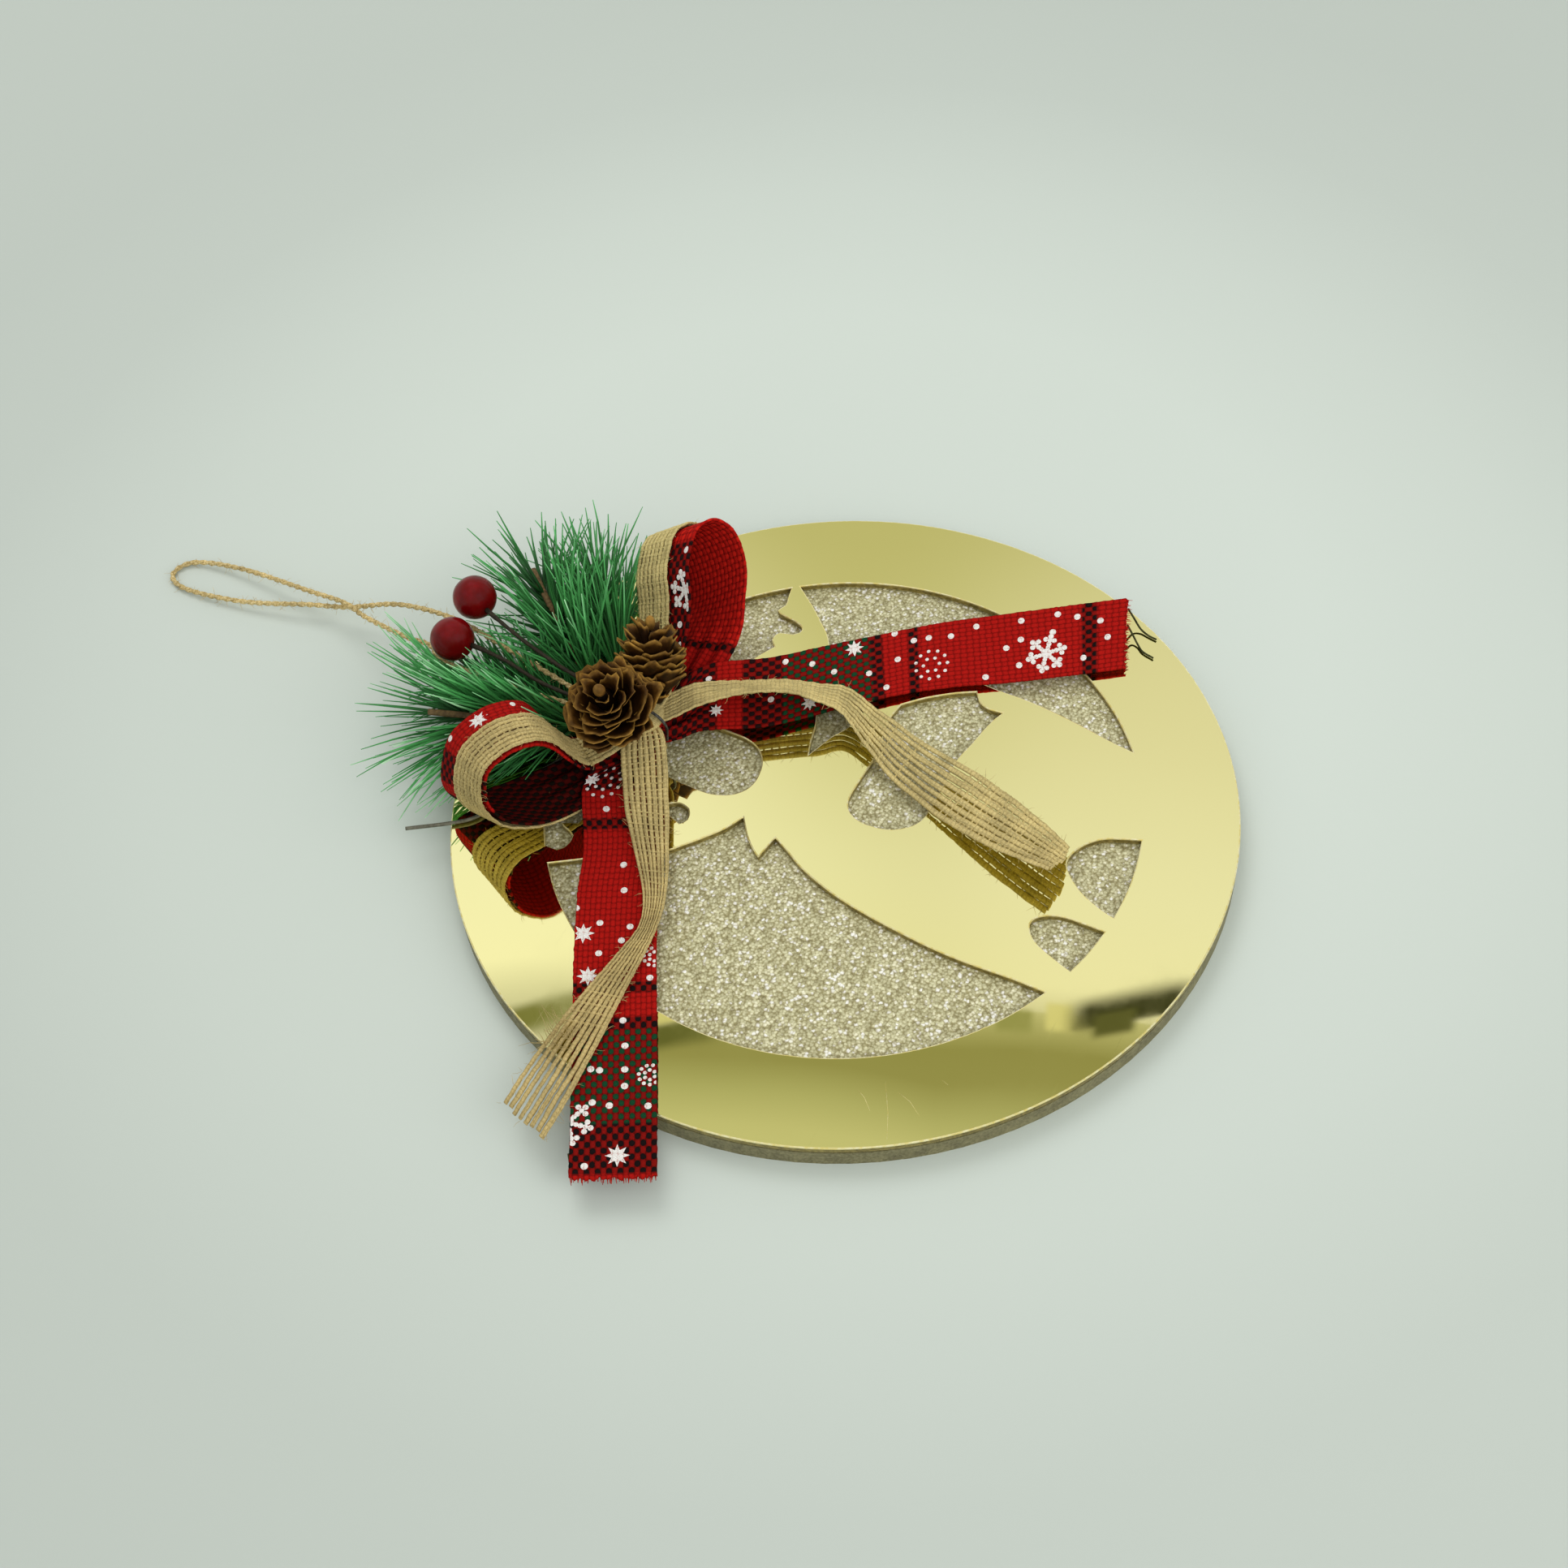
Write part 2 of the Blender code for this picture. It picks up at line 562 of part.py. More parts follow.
def make_burlap_ribbon(plaid_loops):
    """The burlap bow, laid on the plaid one and wrapped over, behind and under its middle."""
    depth = KNOT_DEPTH + KNOT_WRAP
    back = Vector((0, KNOT_DEPTH / 2 + 2 * LAYER_GAP + BACK_STRAND / 2 - KNOT_WRAP / 2, 0))
    top = knot + Vector((0, KNOT_WRAP / 2, KNOT_LIFT + 1.5 * KNOT_HEIGHT + LAYER_GAP))
    under = knot + Vector((0, KNOT_WRAP / 2, PAD_HEIGHT / 2))
    cap = lump("burlap_ribbon", top, (KNOT_LENGTH * 1.05, depth, CAP_HEIGHT),
               colour=(0.62, 0.50, 0.32), roughness=0.95)
    pad = lump("burlap_under", under, (KNOT_LENGTH * 0.8, depth, PAD_HEIGHT))
    post = welded_copy(wire("burlap_back", [under + back, top + back], BACK_STRAND))
    post.hide_render = True
    post.display_type = "WIRE"
    tools.objects.link(post)
    runs = []
    for path, edge in zip(plaid_loops, (LEFT_LOOP_EDGE, RIGHT_LOOP_EDGE)):
        layer = outer_layer(path, edge)
        for k, (place, _, _) in enumerate(layer[:ROOT_ROWS]):
            place.z = max(place.z, top.z + ROOT_LIFT - k * ROOT_FALL)
        last = layer[-1][0]
        last.y, last.z = under.y, under.z
        layer[-2][0].z = (layer[-3][0].z + under.z) / 2
        runs.append(layer)
    runs += [ribbon_path(BURLAP_LEFT_TAIL, BURLAP_WIDTH, TAIL_STEPS),
             ribbon_path(BURLAP_RIGHT_TAIL, BURLAP_WIDTH, TAIL_STEPS)]
    strips = [ribbon_strip(f"burlap_run_{k}", path, BURLAP_THICKNESS) for k, path in enumerate(runs)]
    unite(cap, [pad, post, *strips])


def make_bow():
    loops = [ribbon_path(PLAID_LEFT_LOOP, PLAID_WIDTH, LOOP_STEPS),
             ribbon_path(PLAID_RIGHT_LOOP, PLAID_WIDTH, LOOP_STEPS)]
    make_plaid_ribbon(loops)
    make_burlap_ribbon(loops)


def make_twine():
    rows = [from_knot(row) for row in TWINE_OUT]
    rows += [Vector((knot.x, knot.y, 0)) + Vector(row) * MM for row in TWINE_LOOP]
    rows += [from_knot(row) for row in TWINE_BACK]
    wire("twine", smooth(rows, TWINE_STEPS), TWINE_DIAMETER, colour=(0.62, 0.50, 0.33), roughness=0.95)


def make_wires():
    wire("binding_wire", [from_knot(row) for row in smooth(BINDING_ARCH, 2)], BINDING_WIRE, sides=1,
         colour=(0.10, 0.10, 0.10), roughness=0.4, metallic=0.8)
    wire("pick_wire", [from_knot(row) for row in smooth(PICK_WIRE_ROUTE, 2)], PICK_WIRE, sides=1,
         colour=(0.09, 0.09, 0.09), roughness=0.5, metallic=0.6)


def make_berries():
    for side, place, route in zip(("right", "left"), BERRY_PLACES, BERRY_WIRES):
        shape = bmesh.new()
        bmesh.ops.create_uvsphere(shape, u_segments=16, v_segments=11, radius=BERRY_DIAMETER / 2)
        bmesh.ops.translate(shape, verts=shape.verts, vec=from_knot(place))
        mesh_object(f"berry_{side}", shape, colour=(0.18, 0.004, 0.006), roughness=0.25)
        rows = [from_knot(row) for row in smooth(route, 2)]
        away = (rows[0] - from_knot(place)).normalized()
        rows[0] = from_knot(place) + away * (BERRY_DIAMETER / 2 + TOUCH_GAP)
        wire(f"berry_wire_{side}", rows, BERRY_WIRE, sides=1, colour=(0.04, 0.035, 0.03),
             roughness=0.6)


def make_cone(name, place, axis, diameter, length):
    """A cone of open scales wound up a spindle from its foot to its tip."""
    turn = Vector(axis).to_track_quat("Z", "Y").to_matrix().to_4x4()
    seat = Matrix.Translation(from_knot(place)) @ turn
    shape = bmesh.new()
    for k in range(CONE_SCALES):
        share = (k + 0.5) / CONE_SCALES
        angle = k * GOLDEN_ANGLE
        out = Vector((math.cos(angle), math.sin(angle), 0))
        side = Vector((-math.sin(angle), math.cos(angle), 0))
        reach = diameter / 2 * math.sqrt(max(0, 1 - (1.5 * share - 0.42) ** 2))
        rise = 0.10 + 0.42 * share
        height = length * (0.82 * share - 0.46)
        root = out * (reach * 0.10) + Vector((0, 0, height))
        tip = out * reach + Vector((0, 0, height + reach * rise + length * 0.06))
        petal(shape, root, tip, side, diameter * (0.40 - 0.18 * share))
    bmesh.ops.transform(shape, matrix=seat, verts=shape.verts)
    scales = mesh_object(name + "_scales", shape)
    core = bmesh.new()
    bmesh.ops.create_uvsphere(core, u_segments=8, v_segments=7, radius=0.5)
    bmesh.ops.scale(core, verts=core.verts, vec=(diameter * 0.36, diameter * 0.36, length * 0.98))
    bmesh.ops.transform(core, matrix=seat, verts=core.verts)
    spindle = mesh_object(name, core, colour=(0.14, 0.065, 0.03), roughness=0.8)
    unite(spindle, [scales], folded=True)


def make_cones():
    make_cone("cone_front", CONE_PLACE, CONE_AXIS, CONE_DIAMETER, CONE_LENGTH)
    make_cone("cone_back", SMALL_CONE_PLACE, SMALL_CONE_AXIS, SMALL_CONE_DIAMETER, SMALL_CONE_LENGTH)


def make_stem(name, route):
    """The bare stem of a sprig, and the points along its middle."""
    rows = [from_knot(row) for row in smooth(route, 4)]
    stem = welded_copy(wire(name + "_stem", rows, STEM_DIAMETER, sides=1))
    stem.name = stem.data.name = name
    stem.data.materials.append(material(name, (0.012, 0.045, 0.012), 0.55))
    parts.objects.link(stem)
    return stem, rows


def make_needles(stem, rows, tip_lean, tip_share):
    """Needles wound round a stem, each kept clear of every other piece and of the others' ends."""
    bpy.context.view_layer.update()
    shells = [shell_of(thing) for thing in parts.objects if thing != stem]
    room = NEEDLE_WIDTH / 2 + NEEDLE_ROOM
    shape = bmesh.new()
    placed = []
    for k in range(NEEDLES):
        share = FIRST_NEEDLE + (1 - FIRST_NEEDLE) * (k + 0.5) / NEEDLES
        spot = share * (len(rows) - 1)
        low = min(int(spot), len(rows) - 2)
        foot = rows[low].lerp(rows[low + 1], spot - low)
        ahead = (rows[low + 1] - rows[low]).normalized()
        lean = math.radians(BASE_LEAN + (tip_lean - BASE_LEAN) * share)
        full = NEEDLE_LENGTH * (1 + (tip_share - 1) * share) * (1 - NEEDLE_SPREAD * (k % 3))
        for length, turn in product((full, full * SHORT_NEEDLE), (0, NEEDLE_TURN, -NEEDLE_TURN)):
            side = ahead.orthogonal().normalized()
            side.rotate(Matrix.Rotation(k * GOLDEN_ANGLE + turn, 3, ahead))
            tip = foot + (ahead * math.cos(lean) + side * math.sin(lean)) * length
            tip.z = max(tip.z, panel_top + NEEDLE_FLOOR)
            if crosses(foot, tip, placed) or not is_clear(foot, tip, shells, room):
                continue
            needle(shape, foot, tip)
            placed.append((foot, tip))
            break
    needles = mesh_object(stem.name + "_needles", shape)
    unite(stem, [needles], folded=True)


clear_scene()
make_plaque()
make_bow()
make_wires()
make_berries()
make_cones()
make_twine()
stems = [make_stem(name, route) for name, (route, _, _) in SPRIGS.items()]
for (stem, rows), (_, tip_lean, tip_share) in zip(stems, SPRIGS.values()):
    make_needles(stem, rows, tip_lean, tip_share)
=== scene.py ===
"""Looks of the hanging reindeer plaque: a glitter board under a gold mirror panel, with a ribbon bow,
pine sprigs, berries, cones and a twine loop. Metres, +Z up, the middle of the board's back at the origin."""

import math
import random

import bmesh
import bpy
from mathutils import Matrix, Vector, noise
from mathutils.bvhtree import BVHTree
from mathutils.geometry import intersect_line_line


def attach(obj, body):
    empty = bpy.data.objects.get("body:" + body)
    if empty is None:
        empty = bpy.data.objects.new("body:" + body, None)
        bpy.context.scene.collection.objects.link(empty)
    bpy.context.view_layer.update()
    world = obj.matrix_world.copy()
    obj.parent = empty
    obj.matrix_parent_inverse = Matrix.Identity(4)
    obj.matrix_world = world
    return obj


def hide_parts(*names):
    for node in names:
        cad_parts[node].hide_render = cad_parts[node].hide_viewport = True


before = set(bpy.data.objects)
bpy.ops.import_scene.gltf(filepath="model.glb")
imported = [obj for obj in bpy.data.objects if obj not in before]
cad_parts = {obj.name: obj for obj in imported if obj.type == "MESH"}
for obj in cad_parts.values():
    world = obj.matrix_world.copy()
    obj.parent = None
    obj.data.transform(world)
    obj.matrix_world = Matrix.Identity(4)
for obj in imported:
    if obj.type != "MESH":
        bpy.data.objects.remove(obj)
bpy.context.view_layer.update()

# Camera. The photograph looks down at the plaque from its left and below, across the knot, from
# about 58 cm away with a lens of 52 mm on a 36 mm sensor.
CAMERA_PLACE = (-0.31513, -0.16550, 0.46472)
CAMERA_RIGHT = (0.43684, -0.89780, -0.05596)
CAMERA_UP = (0.72088, 0.31219, 0.61877)
CAMERA_BACK = (-0.53805, -0.31064, 0.78358)
LENS = 52.32
SENSOR_WIDTH = 36.0
NEAREST_SEEN = 0.01
lens_data = bpy.data.cameras.new("camera")
lens_data.lens = LENS
lens_data.sensor_width = SENSOR_WIDTH
lens_data.clip_start = NEAREST_SEEN
camera = bpy.data.objects.new("camera", lens_data)
bpy.context.scene.collection.objects.link(camera)
camera.matrix_world = Matrix.Translation(CAMERA_PLACE) @ Matrix(
    (CAMERA_RIGHT, CAMERA_UP, CAMERA_BACK)).transposed().to_4x4()
bpy.context.scene.camera = camera
bpy.context.scene.view_settings.view_transform = "Standard"

# Table and light. The table is plain pale card, matt and faintly green-grey. The light is a room of
# soft panels: bright from 45 to 57 degrees up, with a darker gap above, which the mirror shows.
TABLE_COLOUR = (0.582, 0.645, 0.600)
# The card is painted darker away from a middle, as a painted pool of light: by distance from it in metres,
# the share of its colour kept.
TABLE_MIDDLE = (0.06, 0.03, 0.0)
TABLE_LIGHT_POOL = ((0.13, 1.0), (0.19, 0.94), (0.25, 0.85), (0.31, 0.82))
TABLE_REACH = 3.0


def shader_material(name):
    """A new material, its node tree and its Principled shader."""
    made = bpy.data.materials.new(name)
    made.use_nodes = True
    return made, made.node_tree, made.node_tree.nodes["Principled BSDF"]


def node(tree, kind, values=(), links=(), **settings):
    """A node with settings, values by input and links by input from other nodes' sockets."""
    made = tree.nodes.new(kind)
    for key, value in settings.items():
        setattr(made, key, value)
    for key, value in dict(values).items():
        made.inputs[key].default_value = value
    for key, socket in dict(links).items():
        tree.links.new(socket, made.inputs[key])
    return made


def maths(tree, operation, *values):
    """The output of a Math node; a value is a number or a socket."""
    made = tree.nodes.new("ShaderNodeMath")
    made.operation = operation
    for k, value in enumerate(values):
        if isinstance(value, (int, float)):
            made.inputs[k].default_value = value
        else:
            tree.links.new(value, made.inputs[k])
    return made.outputs[0]


def mix_colour(tree, share, first, second, blend="MIX"):
    """The output of a colour Mix node; share, first and second are values or sockets."""
    made = tree.nodes.new("ShaderNodeMix")
    made.data_type = "RGBA"
    made.blend_type = blend
    for socket, value in ((made.inputs[0], share), (made.inputs[6], first), (made.inputs[7], second)):
        if isinstance(value, bpy.types.NodeSocket):
            tree.links.new(value, socket)
        elif isinstance(value, (int, float)):
            socket.default_value = value
        else:
            socket.default_value = (*value, 1)
    return made.outputs[2]


def ramp(tree, socket, stops, interpolation="LINEAR"):
    """The colour output of a ramp with stops of (place, colour or grey)."""
    made = tree.nodes.new("ShaderNodeValToRGB")
    made.color_ramp.interpolation = interpolation
    elements = made.color_ramp.elements
    while len(elements) < len(stops):
        elements.new(0.5)
    for element, (place, colour) in zip(elements, stops):
        element.position = place
        element.color = (colour, colour, colour, 1) if isinstance(colour, (int, float)) else (*colour, 1)
    tree.links.new(socket, made.inputs[0])
    return made.outputs[0]


def speckle(tree, where, scale, detail=2.0, roughness=0.5):
    """The factor of a noise texture."""
    values = {"Scale": scale, "Detail": detail, "Roughness": roughness}
    return node(tree, "ShaderNodeTexNoise", values, {"Vector": where}).outputs["Fac"]


def relief(tree, shader, *layers):
    """Bumps a shader's surface by layers of (height, strength, distance), the broadest first."""
    normal = None
    for height, strength, distance in layers:
        links = {"Height": height, "Normal": normal} if normal else {"Height": height}
        normal = node(tree, "ShaderNodeBump", {"Strength": strength, "Distance": distance}, links).outputs[0]
    tree.links.new(normal, shader.inputs["Normal"])


def plain_values(shader, **values):
    """Sets a shader's own sockets; an underscore in a key stands for a space."""
    for key, value in values.items():
        shader.inputs[key.replace("_", " ")].default_value = value


def finished(name, shape, finish, smooth_faces=True, recalculate=True):
    """An object at the origin from a bmesh, which is freed, riding on the plaque."""
    if recalculate:
        bmesh.ops.recalc_face_normals(shape, faces=shape.faces)
    for face in shape.faces:
        face.smooth = smooth_faces
    data = bpy.data.meshes.new(name)
    shape.to_mesh(data)
    shape.free()
    for material in (finish if isinstance(finish, (list, tuple)) else [finish]):
        data.materials.append(material)
    made = bpy.data.objects.new(name, data)
    bpy.context.scene.collection.objects.link(made)
    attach(made, "root")
    return made


table_shape = bmesh.new()
bmesh.ops.create_grid(table_shape, x_segments=1, y_segments=1, size=TABLE_REACH)
table_data = bpy.data.meshes.new("table")
table_shape.to_mesh(table_data)
table_shape.free()
table = bpy.data.objects.new("table", table_data)
bpy.context.scene.collection.objects.link(table)
table_finish, tree, shader = shader_material("table_card")
place = node(tree, "ShaderNodeTexCoord").outputs["Object"]
grain = speckle(tree, place, 900.0, 2.0)
from_middle = node(tree, "ShaderNodeVectorMath", {1: TABLE_MIDDLE}, {0: place}, operation="DISTANCE")
# The painted pool of light: the card's colour scaled down with distance from the middle.
tones = [(spot, tuple(part * share for part in TABLE_COLOUR)) for spot, share in TABLE_LIGHT_POOL]
tree.links.new(ramp(tree, from_middle.outputs["Value"], tones), shader.inputs["Base Color"])
plain_values(shader, Roughness=0.8, Specular_IOR_Level=0.25)
relief(tree, shader, (grain, 0.05, 0.0002))
table_data.materials.append(table_finish)

# The room's tones by height, from straight below at 0 to straight above at 1.
ROOM_TONES = [(0.0, (0.80, 0.80, 0.78)), (0.55, (0.90, 0.90, 0.88)), (0.80, (0.62, 0.63, 0.58)),
              (0.857, (0.50, 0.50, 0.41)), (0.885, (0.56, 0.56, 0.50)), (0.905, (0.64, 0.65, 0.66)),
              (0.9203, (0.68, 0.68, 0.64)), (0.9222, (0.42, 0.42, 0.32)), (0.9245, (0.285, 0.285, 0.165)),
              (0.929, (0.275, 0.27, 0.155)), (0.9322, (0.36, 0.375, 0.26)), (0.936, (0.52, 0.53, 0.44)),
              (0.955, (0.66, 0.67, 0.60)), (1.0, (0.86, 0.86, 0.84))]
# The glow of each soft panel: azimuth, elevation, the cosine at which it fades out, and its colour.
# The glows end where the dark gap starts, at this sine of the elevation.
GLOWS = ((46, 53, 0.968, (0.26, 0.27, 0.50)), (8, 54, 0.968, (0.17, 0.17, 0.36)),
         (130, 50, 0.93, (0.25, 0.25, 0.40)), (-100, 50, 0.93, (0.25, 0.25, 0.40)),
         (-170, 52, 0.94, (0.25, 0.25, 0.40)))
GAP_STARTS = 0.842
# The room's dark window frame and its edges, each by azimuth, half width, lowest and highest elevation,
# slope, softness below and above, and colour.
WINDOW_BARS = ((36.5, 2.4, 55.6, 57.05, 0.0, 0.5, 0.12, (0.62, 0.60, 0.46)),
               (36.2, 2.6, 57.2, 57.5, 0.0, 0.15, 0.35, (0.12, 0.13, 0.06)),
               (41.6, 2.2, 56.1, 56.35, 0.0, 0.30, 0.45, (0.19, 0.20, 0.10)),
               (20.3, 1.1, 57.45, 57.75, 0.0, 0.25, 0.3, (0.30, 0.31, 0.19)),
               (18.2, 0.8, 57.2, 57.7, 0.0, 0.2, 0.2, (0.66, 0.64, 0.50)),
               (15.0, 3.3, 56.90, 57.28, 0.17, 0.50, 0.10, (0.035, 0.038, 0.018)),
               (15.7, 1.2, 57.20, 57.60, 0.17, 0.1, 0.25, (0.10, 0.105, 0.055)))
LAMPS = (("soft_lamp", 6.0, (0.55, 0.65, 1.15)), ("fill_lamp", 3.2, (-0.62, -0.62, 1.05)),
         ("side_lamp", 3.0, (-0.10, -0.90, 0.48)))
LAMP_WIDTH = 0.9
LAMP_COLOUR = (1.0, 0.98, 0.95)
world = bpy.data.worlds.new("studio")
bpy.context.scene.world = world
world.use_nodes = True
tree = world.node_tree
direction = node(tree, "ShaderNodeTexCoord").outputs["Generated"]
compass = node(tree, "ShaderNodeSeparateXYZ", links={0: direction})
height = compass.outputs["Z"]
turned = maths(tree, "ARCTAN2", compass.outputs["Y"], compass.outputs["X"])
raised = maths(tree, "ARCSINE", height)
rising = {"From Min": math.radians(24), "From Max": math.radians(44), "To Max": math.radians(2.2)}
lifted = node(tree, "ShaderNodeMapRange", rising, {"Value": turned}).outputs[0]
by_height = maths(tree, "MULTIPLY_ADD", maths(tree, "SINE", maths(tree, "ADD", raised, lifted)), 0.5, 0.5)
light = ramp(tree, by_height, ROOM_TONES)
for azimuth, elevation, reach, colour in GLOWS:
    a, e = math.radians(azimuth), math.radians(elevation)
    towards = (math.cos(a) * math.cos(e), math.sin(a) * math.cos(e), math.sin(e))
    facing = node(tree, "ShaderNodeVectorMath", {1: towards}, {0: direction},
                  operation="DOT_PRODUCT").outputs["Value"]
    glow = node(tree, "ShaderNodeMapRange", {"From Min": reach, "From Max": 1.0}, {"Value": facing},
                interpolation_type="SMOOTHERSTEP").outputs[0]
    below = maths(tree, "LESS_THAN", height, GAP_STARTS)
    light = mix_colour(tree, maths(tree, "MULTIPLY", glow, below), light,
                       mix_colour(tree, 1.0, light, colour, "ADD"))
for azimuth, wide, lowest, highest, slope, soft, sharp, colour in WINDOW_BARS:
    off_side = maths(tree, "SUBTRACT", turned, math.radians(azimuth))
    level = maths(tree, "MULTIPLY_ADD", off_side, -slope, raised)
    fade = {"From Min": math.radians(wide), "From Max": math.radians(wide * 0.55)}
    share = node(tree, "ShaderNodeMapRange", fade, {"Value": maths(tree, "ABSOLUTE", off_side)},
                 interpolation_type="SMOOTHSTEP").outputs[0]
    for start, full in ((lowest - soft, lowest), (highest + sharp, highest)):
        fade = {"From Min": math.radians(start), "From Max": math.radians(full)}
        edge = node(tree, "ShaderNodeMapRange", fade, {"Value": level},
                    interpolation_type="SMOOTHSTEP").outputs[0]
        share = maths(tree, "MULTIPLY", share, edge)
    light = mix_colour(tree, share, light, colour)
background = tree.nodes["Background"]
tree.links.new(light, background.inputs["Color"])
background.inputs["Strength"].default_value = 1.0

for name, power, spot in LAMPS:
    lamp_data = bpy.data.lights.new(name, "AREA")
    lamp_data.shape = "DISK"
    lamp_data.size = LAMP_WIDTH
    lamp_data.energy = power
    lamp_data.color = LAMP_COLOUR
    lamp = bpy.data.objects.new(name, lamp_data)
    bpy.context.scene.collection.objects.link(lamp)
    lamp.location = spot
    lamp.rotation_euler = (-lamp.location).to_track_quat("-Z", "Y").to_euler()
    lamp.visible_glossy = False

# Backing board. A round of 4.8 mm board with a pale champagne glitter face and a sawn beige edge.
# The board is the CAD solid; the glitter is a crust of small tilted flakes glued on its face.
BOARD_TOP = 0.0048
PANEL_BOTTOM = 0.0051
PANEL_TOP = 0.0070
FLAKE = 0.00052
FLAKE_FIELD = 0.077
GLITTER_REACH = 0.0785
PANEL_MARGIN = 0.0012
knot = Vector((-0.004, 0.054, 0.0073))
MM = 0.001


def welded(node_name):
    """A bmesh of a CAD node with its loose triangles joined."""
    shape = bmesh.new()
    shape.from_mesh(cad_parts[node_name].data)
    bmesh.ops.remove_doubles(shape, verts=shape.verts, dist=1e-6)
    return shape


board_finish, tree, shader = shader_material("board_edge")
place = node(tree, "ShaderNodeTexCoord").outputs["Object"]
coarse = speckle(tree, place, 260.0, 4.0)
fine = speckle(tree, place, 1500.0, 3.0)
colour = ramp(tree, coarse, [(0.25, (0.09, 0.080, 0.031)), (0.5, (0.155, 0.142, 0.060)),
                             (0.75, (0.235, 0.218, 0.103))])
colour = mix_colour(tree, 0.35, colour, ramp(tree, fine, [(0.3, (0.05, 0.043, 0.018)),
                                                          (0.7, (0.37, 0.34, 0.20))]))
tree.links.new(colour, shader.inputs["Base Color"])
plain_values(shader, Roughness=0.62)
relief(tree, shader, (coarse, 0.7, 0.0003), (fine, 0.5, 0.0001))
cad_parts["backing_board"].data.materials.clear()
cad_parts["backing_board"].data.materials.append(board_finish)

panel_shape = welded("mirror_panel")
panel_cover = BVHTree.FromBMesh(panel_shape)
random.seed(11)
flakes = bmesh.new()
side = round(2 * FLAKE_FIELD / FLAKE)
bmesh.ops.create_grid(flakes, x_segments=side, y_segments=side, size=FLAKE_FIELD)
unseen = []
for vertex in flakes.verts:
    x, y = vertex.co.x, vertex.co.y
    covered = all(panel_cover.ray_cast(Vector((x + dx, y + dy, 0.02)), Vector((0, 0, -1)))[0] is not None
                  for dx, dy in ((PANEL_MARGIN, 0), (-PANEL_MARGIN, 0), (0, PANEL_MARGIN),
                                 (0, -PANEL_MARGIN)))
    if covered or math.hypot(x, y) > GLITTER_REACH:
        unseen.append(vertex)
bmesh.ops.delete(flakes, geom=unseen, context="VERTS")
for vertex in flakes.verts:
    vertex.co.x += random.uniform(-0.3, 0.3) * FLAKE
    vertex.co.y += random.uniform(-0.3, 0.3) * FLAKE
    vertex.co.z = BOARD_TOP + random.uniform(0.00002, 0.00014)
bmesh.ops.triangulate(flakes, faces=flakes.faces, quad_method="ALTERNATE")
glitter_finish, tree, shader = shader_material("champagne_glitter")
place = node(tree, "ShaderNodeTexCoord").outputs["Object"]
wobble = node(tree, "ShaderNodeTexNoise", {"Scale": 1500.0, "Detail": 1.0},
              {"Vector": place}).outputs["Color"]
wobble = node(tree, "ShaderNodeVectorMath", {1: (0.0007, 0.0007, 0.0007)}, {0: wobble},
              operation="MULTIPLY").outputs[0]
ragged = node(tree, "ShaderNodeVectorMath", {}, {0: place, 1: wobble}, operation="ADD").outputs[0]
grains = node(tree, "ShaderNodeTexVoronoi", {"Scale": 1250.0}, {"Vector": ragged})
clumps = speckle(tree, place, 420.0, 2.0)
tone = node(tree, "ShaderNodeSeparateXYZ", links={0: grains.outputs["Color"]})
# Each painted grain takes a random brightness, the palest near white: painted glints for flakes that catch
# the light. Grains also darken from their middles towards their edges, in step with their domed bump: painted
# shade.
colour = ramp(tree, tone.outputs[0], [(0.0, (0.48, 0.45, 0.26)), (0.4, (0.64, 0.62, 0.39)),
                                      (0.75, (0.78, 0.76, 0.50)), (0.88, (0.93, 0.91, 0.68)),
                                      (0.91, (1.0, 1.0, 0.95))])
colour = mix_colour(tree, 1.0, colour, ramp(tree, grains.outputs["Distance"],
                                            [(0.34, 1.0), (0.72, (0.52, 0.48, 0.36))]), "MULTIPLY")
colour = mix_colour(tree, 0.7, colour, ramp(tree, clumps,
                                            [(0.35, (0.80, 0.78, 0.72)), (0.65, (1.0, 1.0, 1.0))]),
                    "MULTIPLY")
tree.links.new(colour, shader.inputs["Base Color"])
plain_values(shader, Metallic=0.15)
tree.links.new(ramp(tree, tone.outputs[1], [(0.0, 0.15), (0.5, 0.45)]), shader.inputs["Roughness"])
domes = maths(tree, "MULTIPLY_ADD", tone.outputs[2], 0.8,
              maths(tree, "SUBTRACT", 1.0, grains.outputs["Distance"]))
relief(tree, shader, (domes, 0.55, 0.0003))
finished("glitter_coat", flakes, glitter_finish, smooth_faces=False, recalculate=False)

# Mirror panel. 1.9 mm gold mirror acrylic, laser cut in one piece as a ring that holds a
# reindeer's head; its windows show the glitter. The cut edges are polished by the cut.
CORNER = math.radians(32)
EDGE_ROUND = 0.00034
# How upright a face of the panel points at most on its sawn side, and at least on its mirror face.
SIDE_FACING = 0.3
FLAT_FACING = 0.985


def outline_loops(shape, level):
    """The closed rows of corner places round the faces that lie at a level."""
    flat = {face for face in shape.faces if face.normal.z > 0.9
            and abs(face.calc_center_median().z - level) < 1e-5}
    rim = {edge: None for edge in shape.edges if sum(face in flat for face in edge.link_faces) == 1}
    loops = []
    while rim:
        edge = next(iter(rim))
        del rim[edge]
        loop = [edge.verts[0], edge.verts[1]]
        while loop[-1] != loop[0]:
            onward = next(e for e in loop[-1].link_edges if e in rim)
            del rim[onward]
            loop.append(onward.other_vert(loop[-1]))
        loops.append([vertex.co.copy() for vertex in loop[:-1]])
    return loops


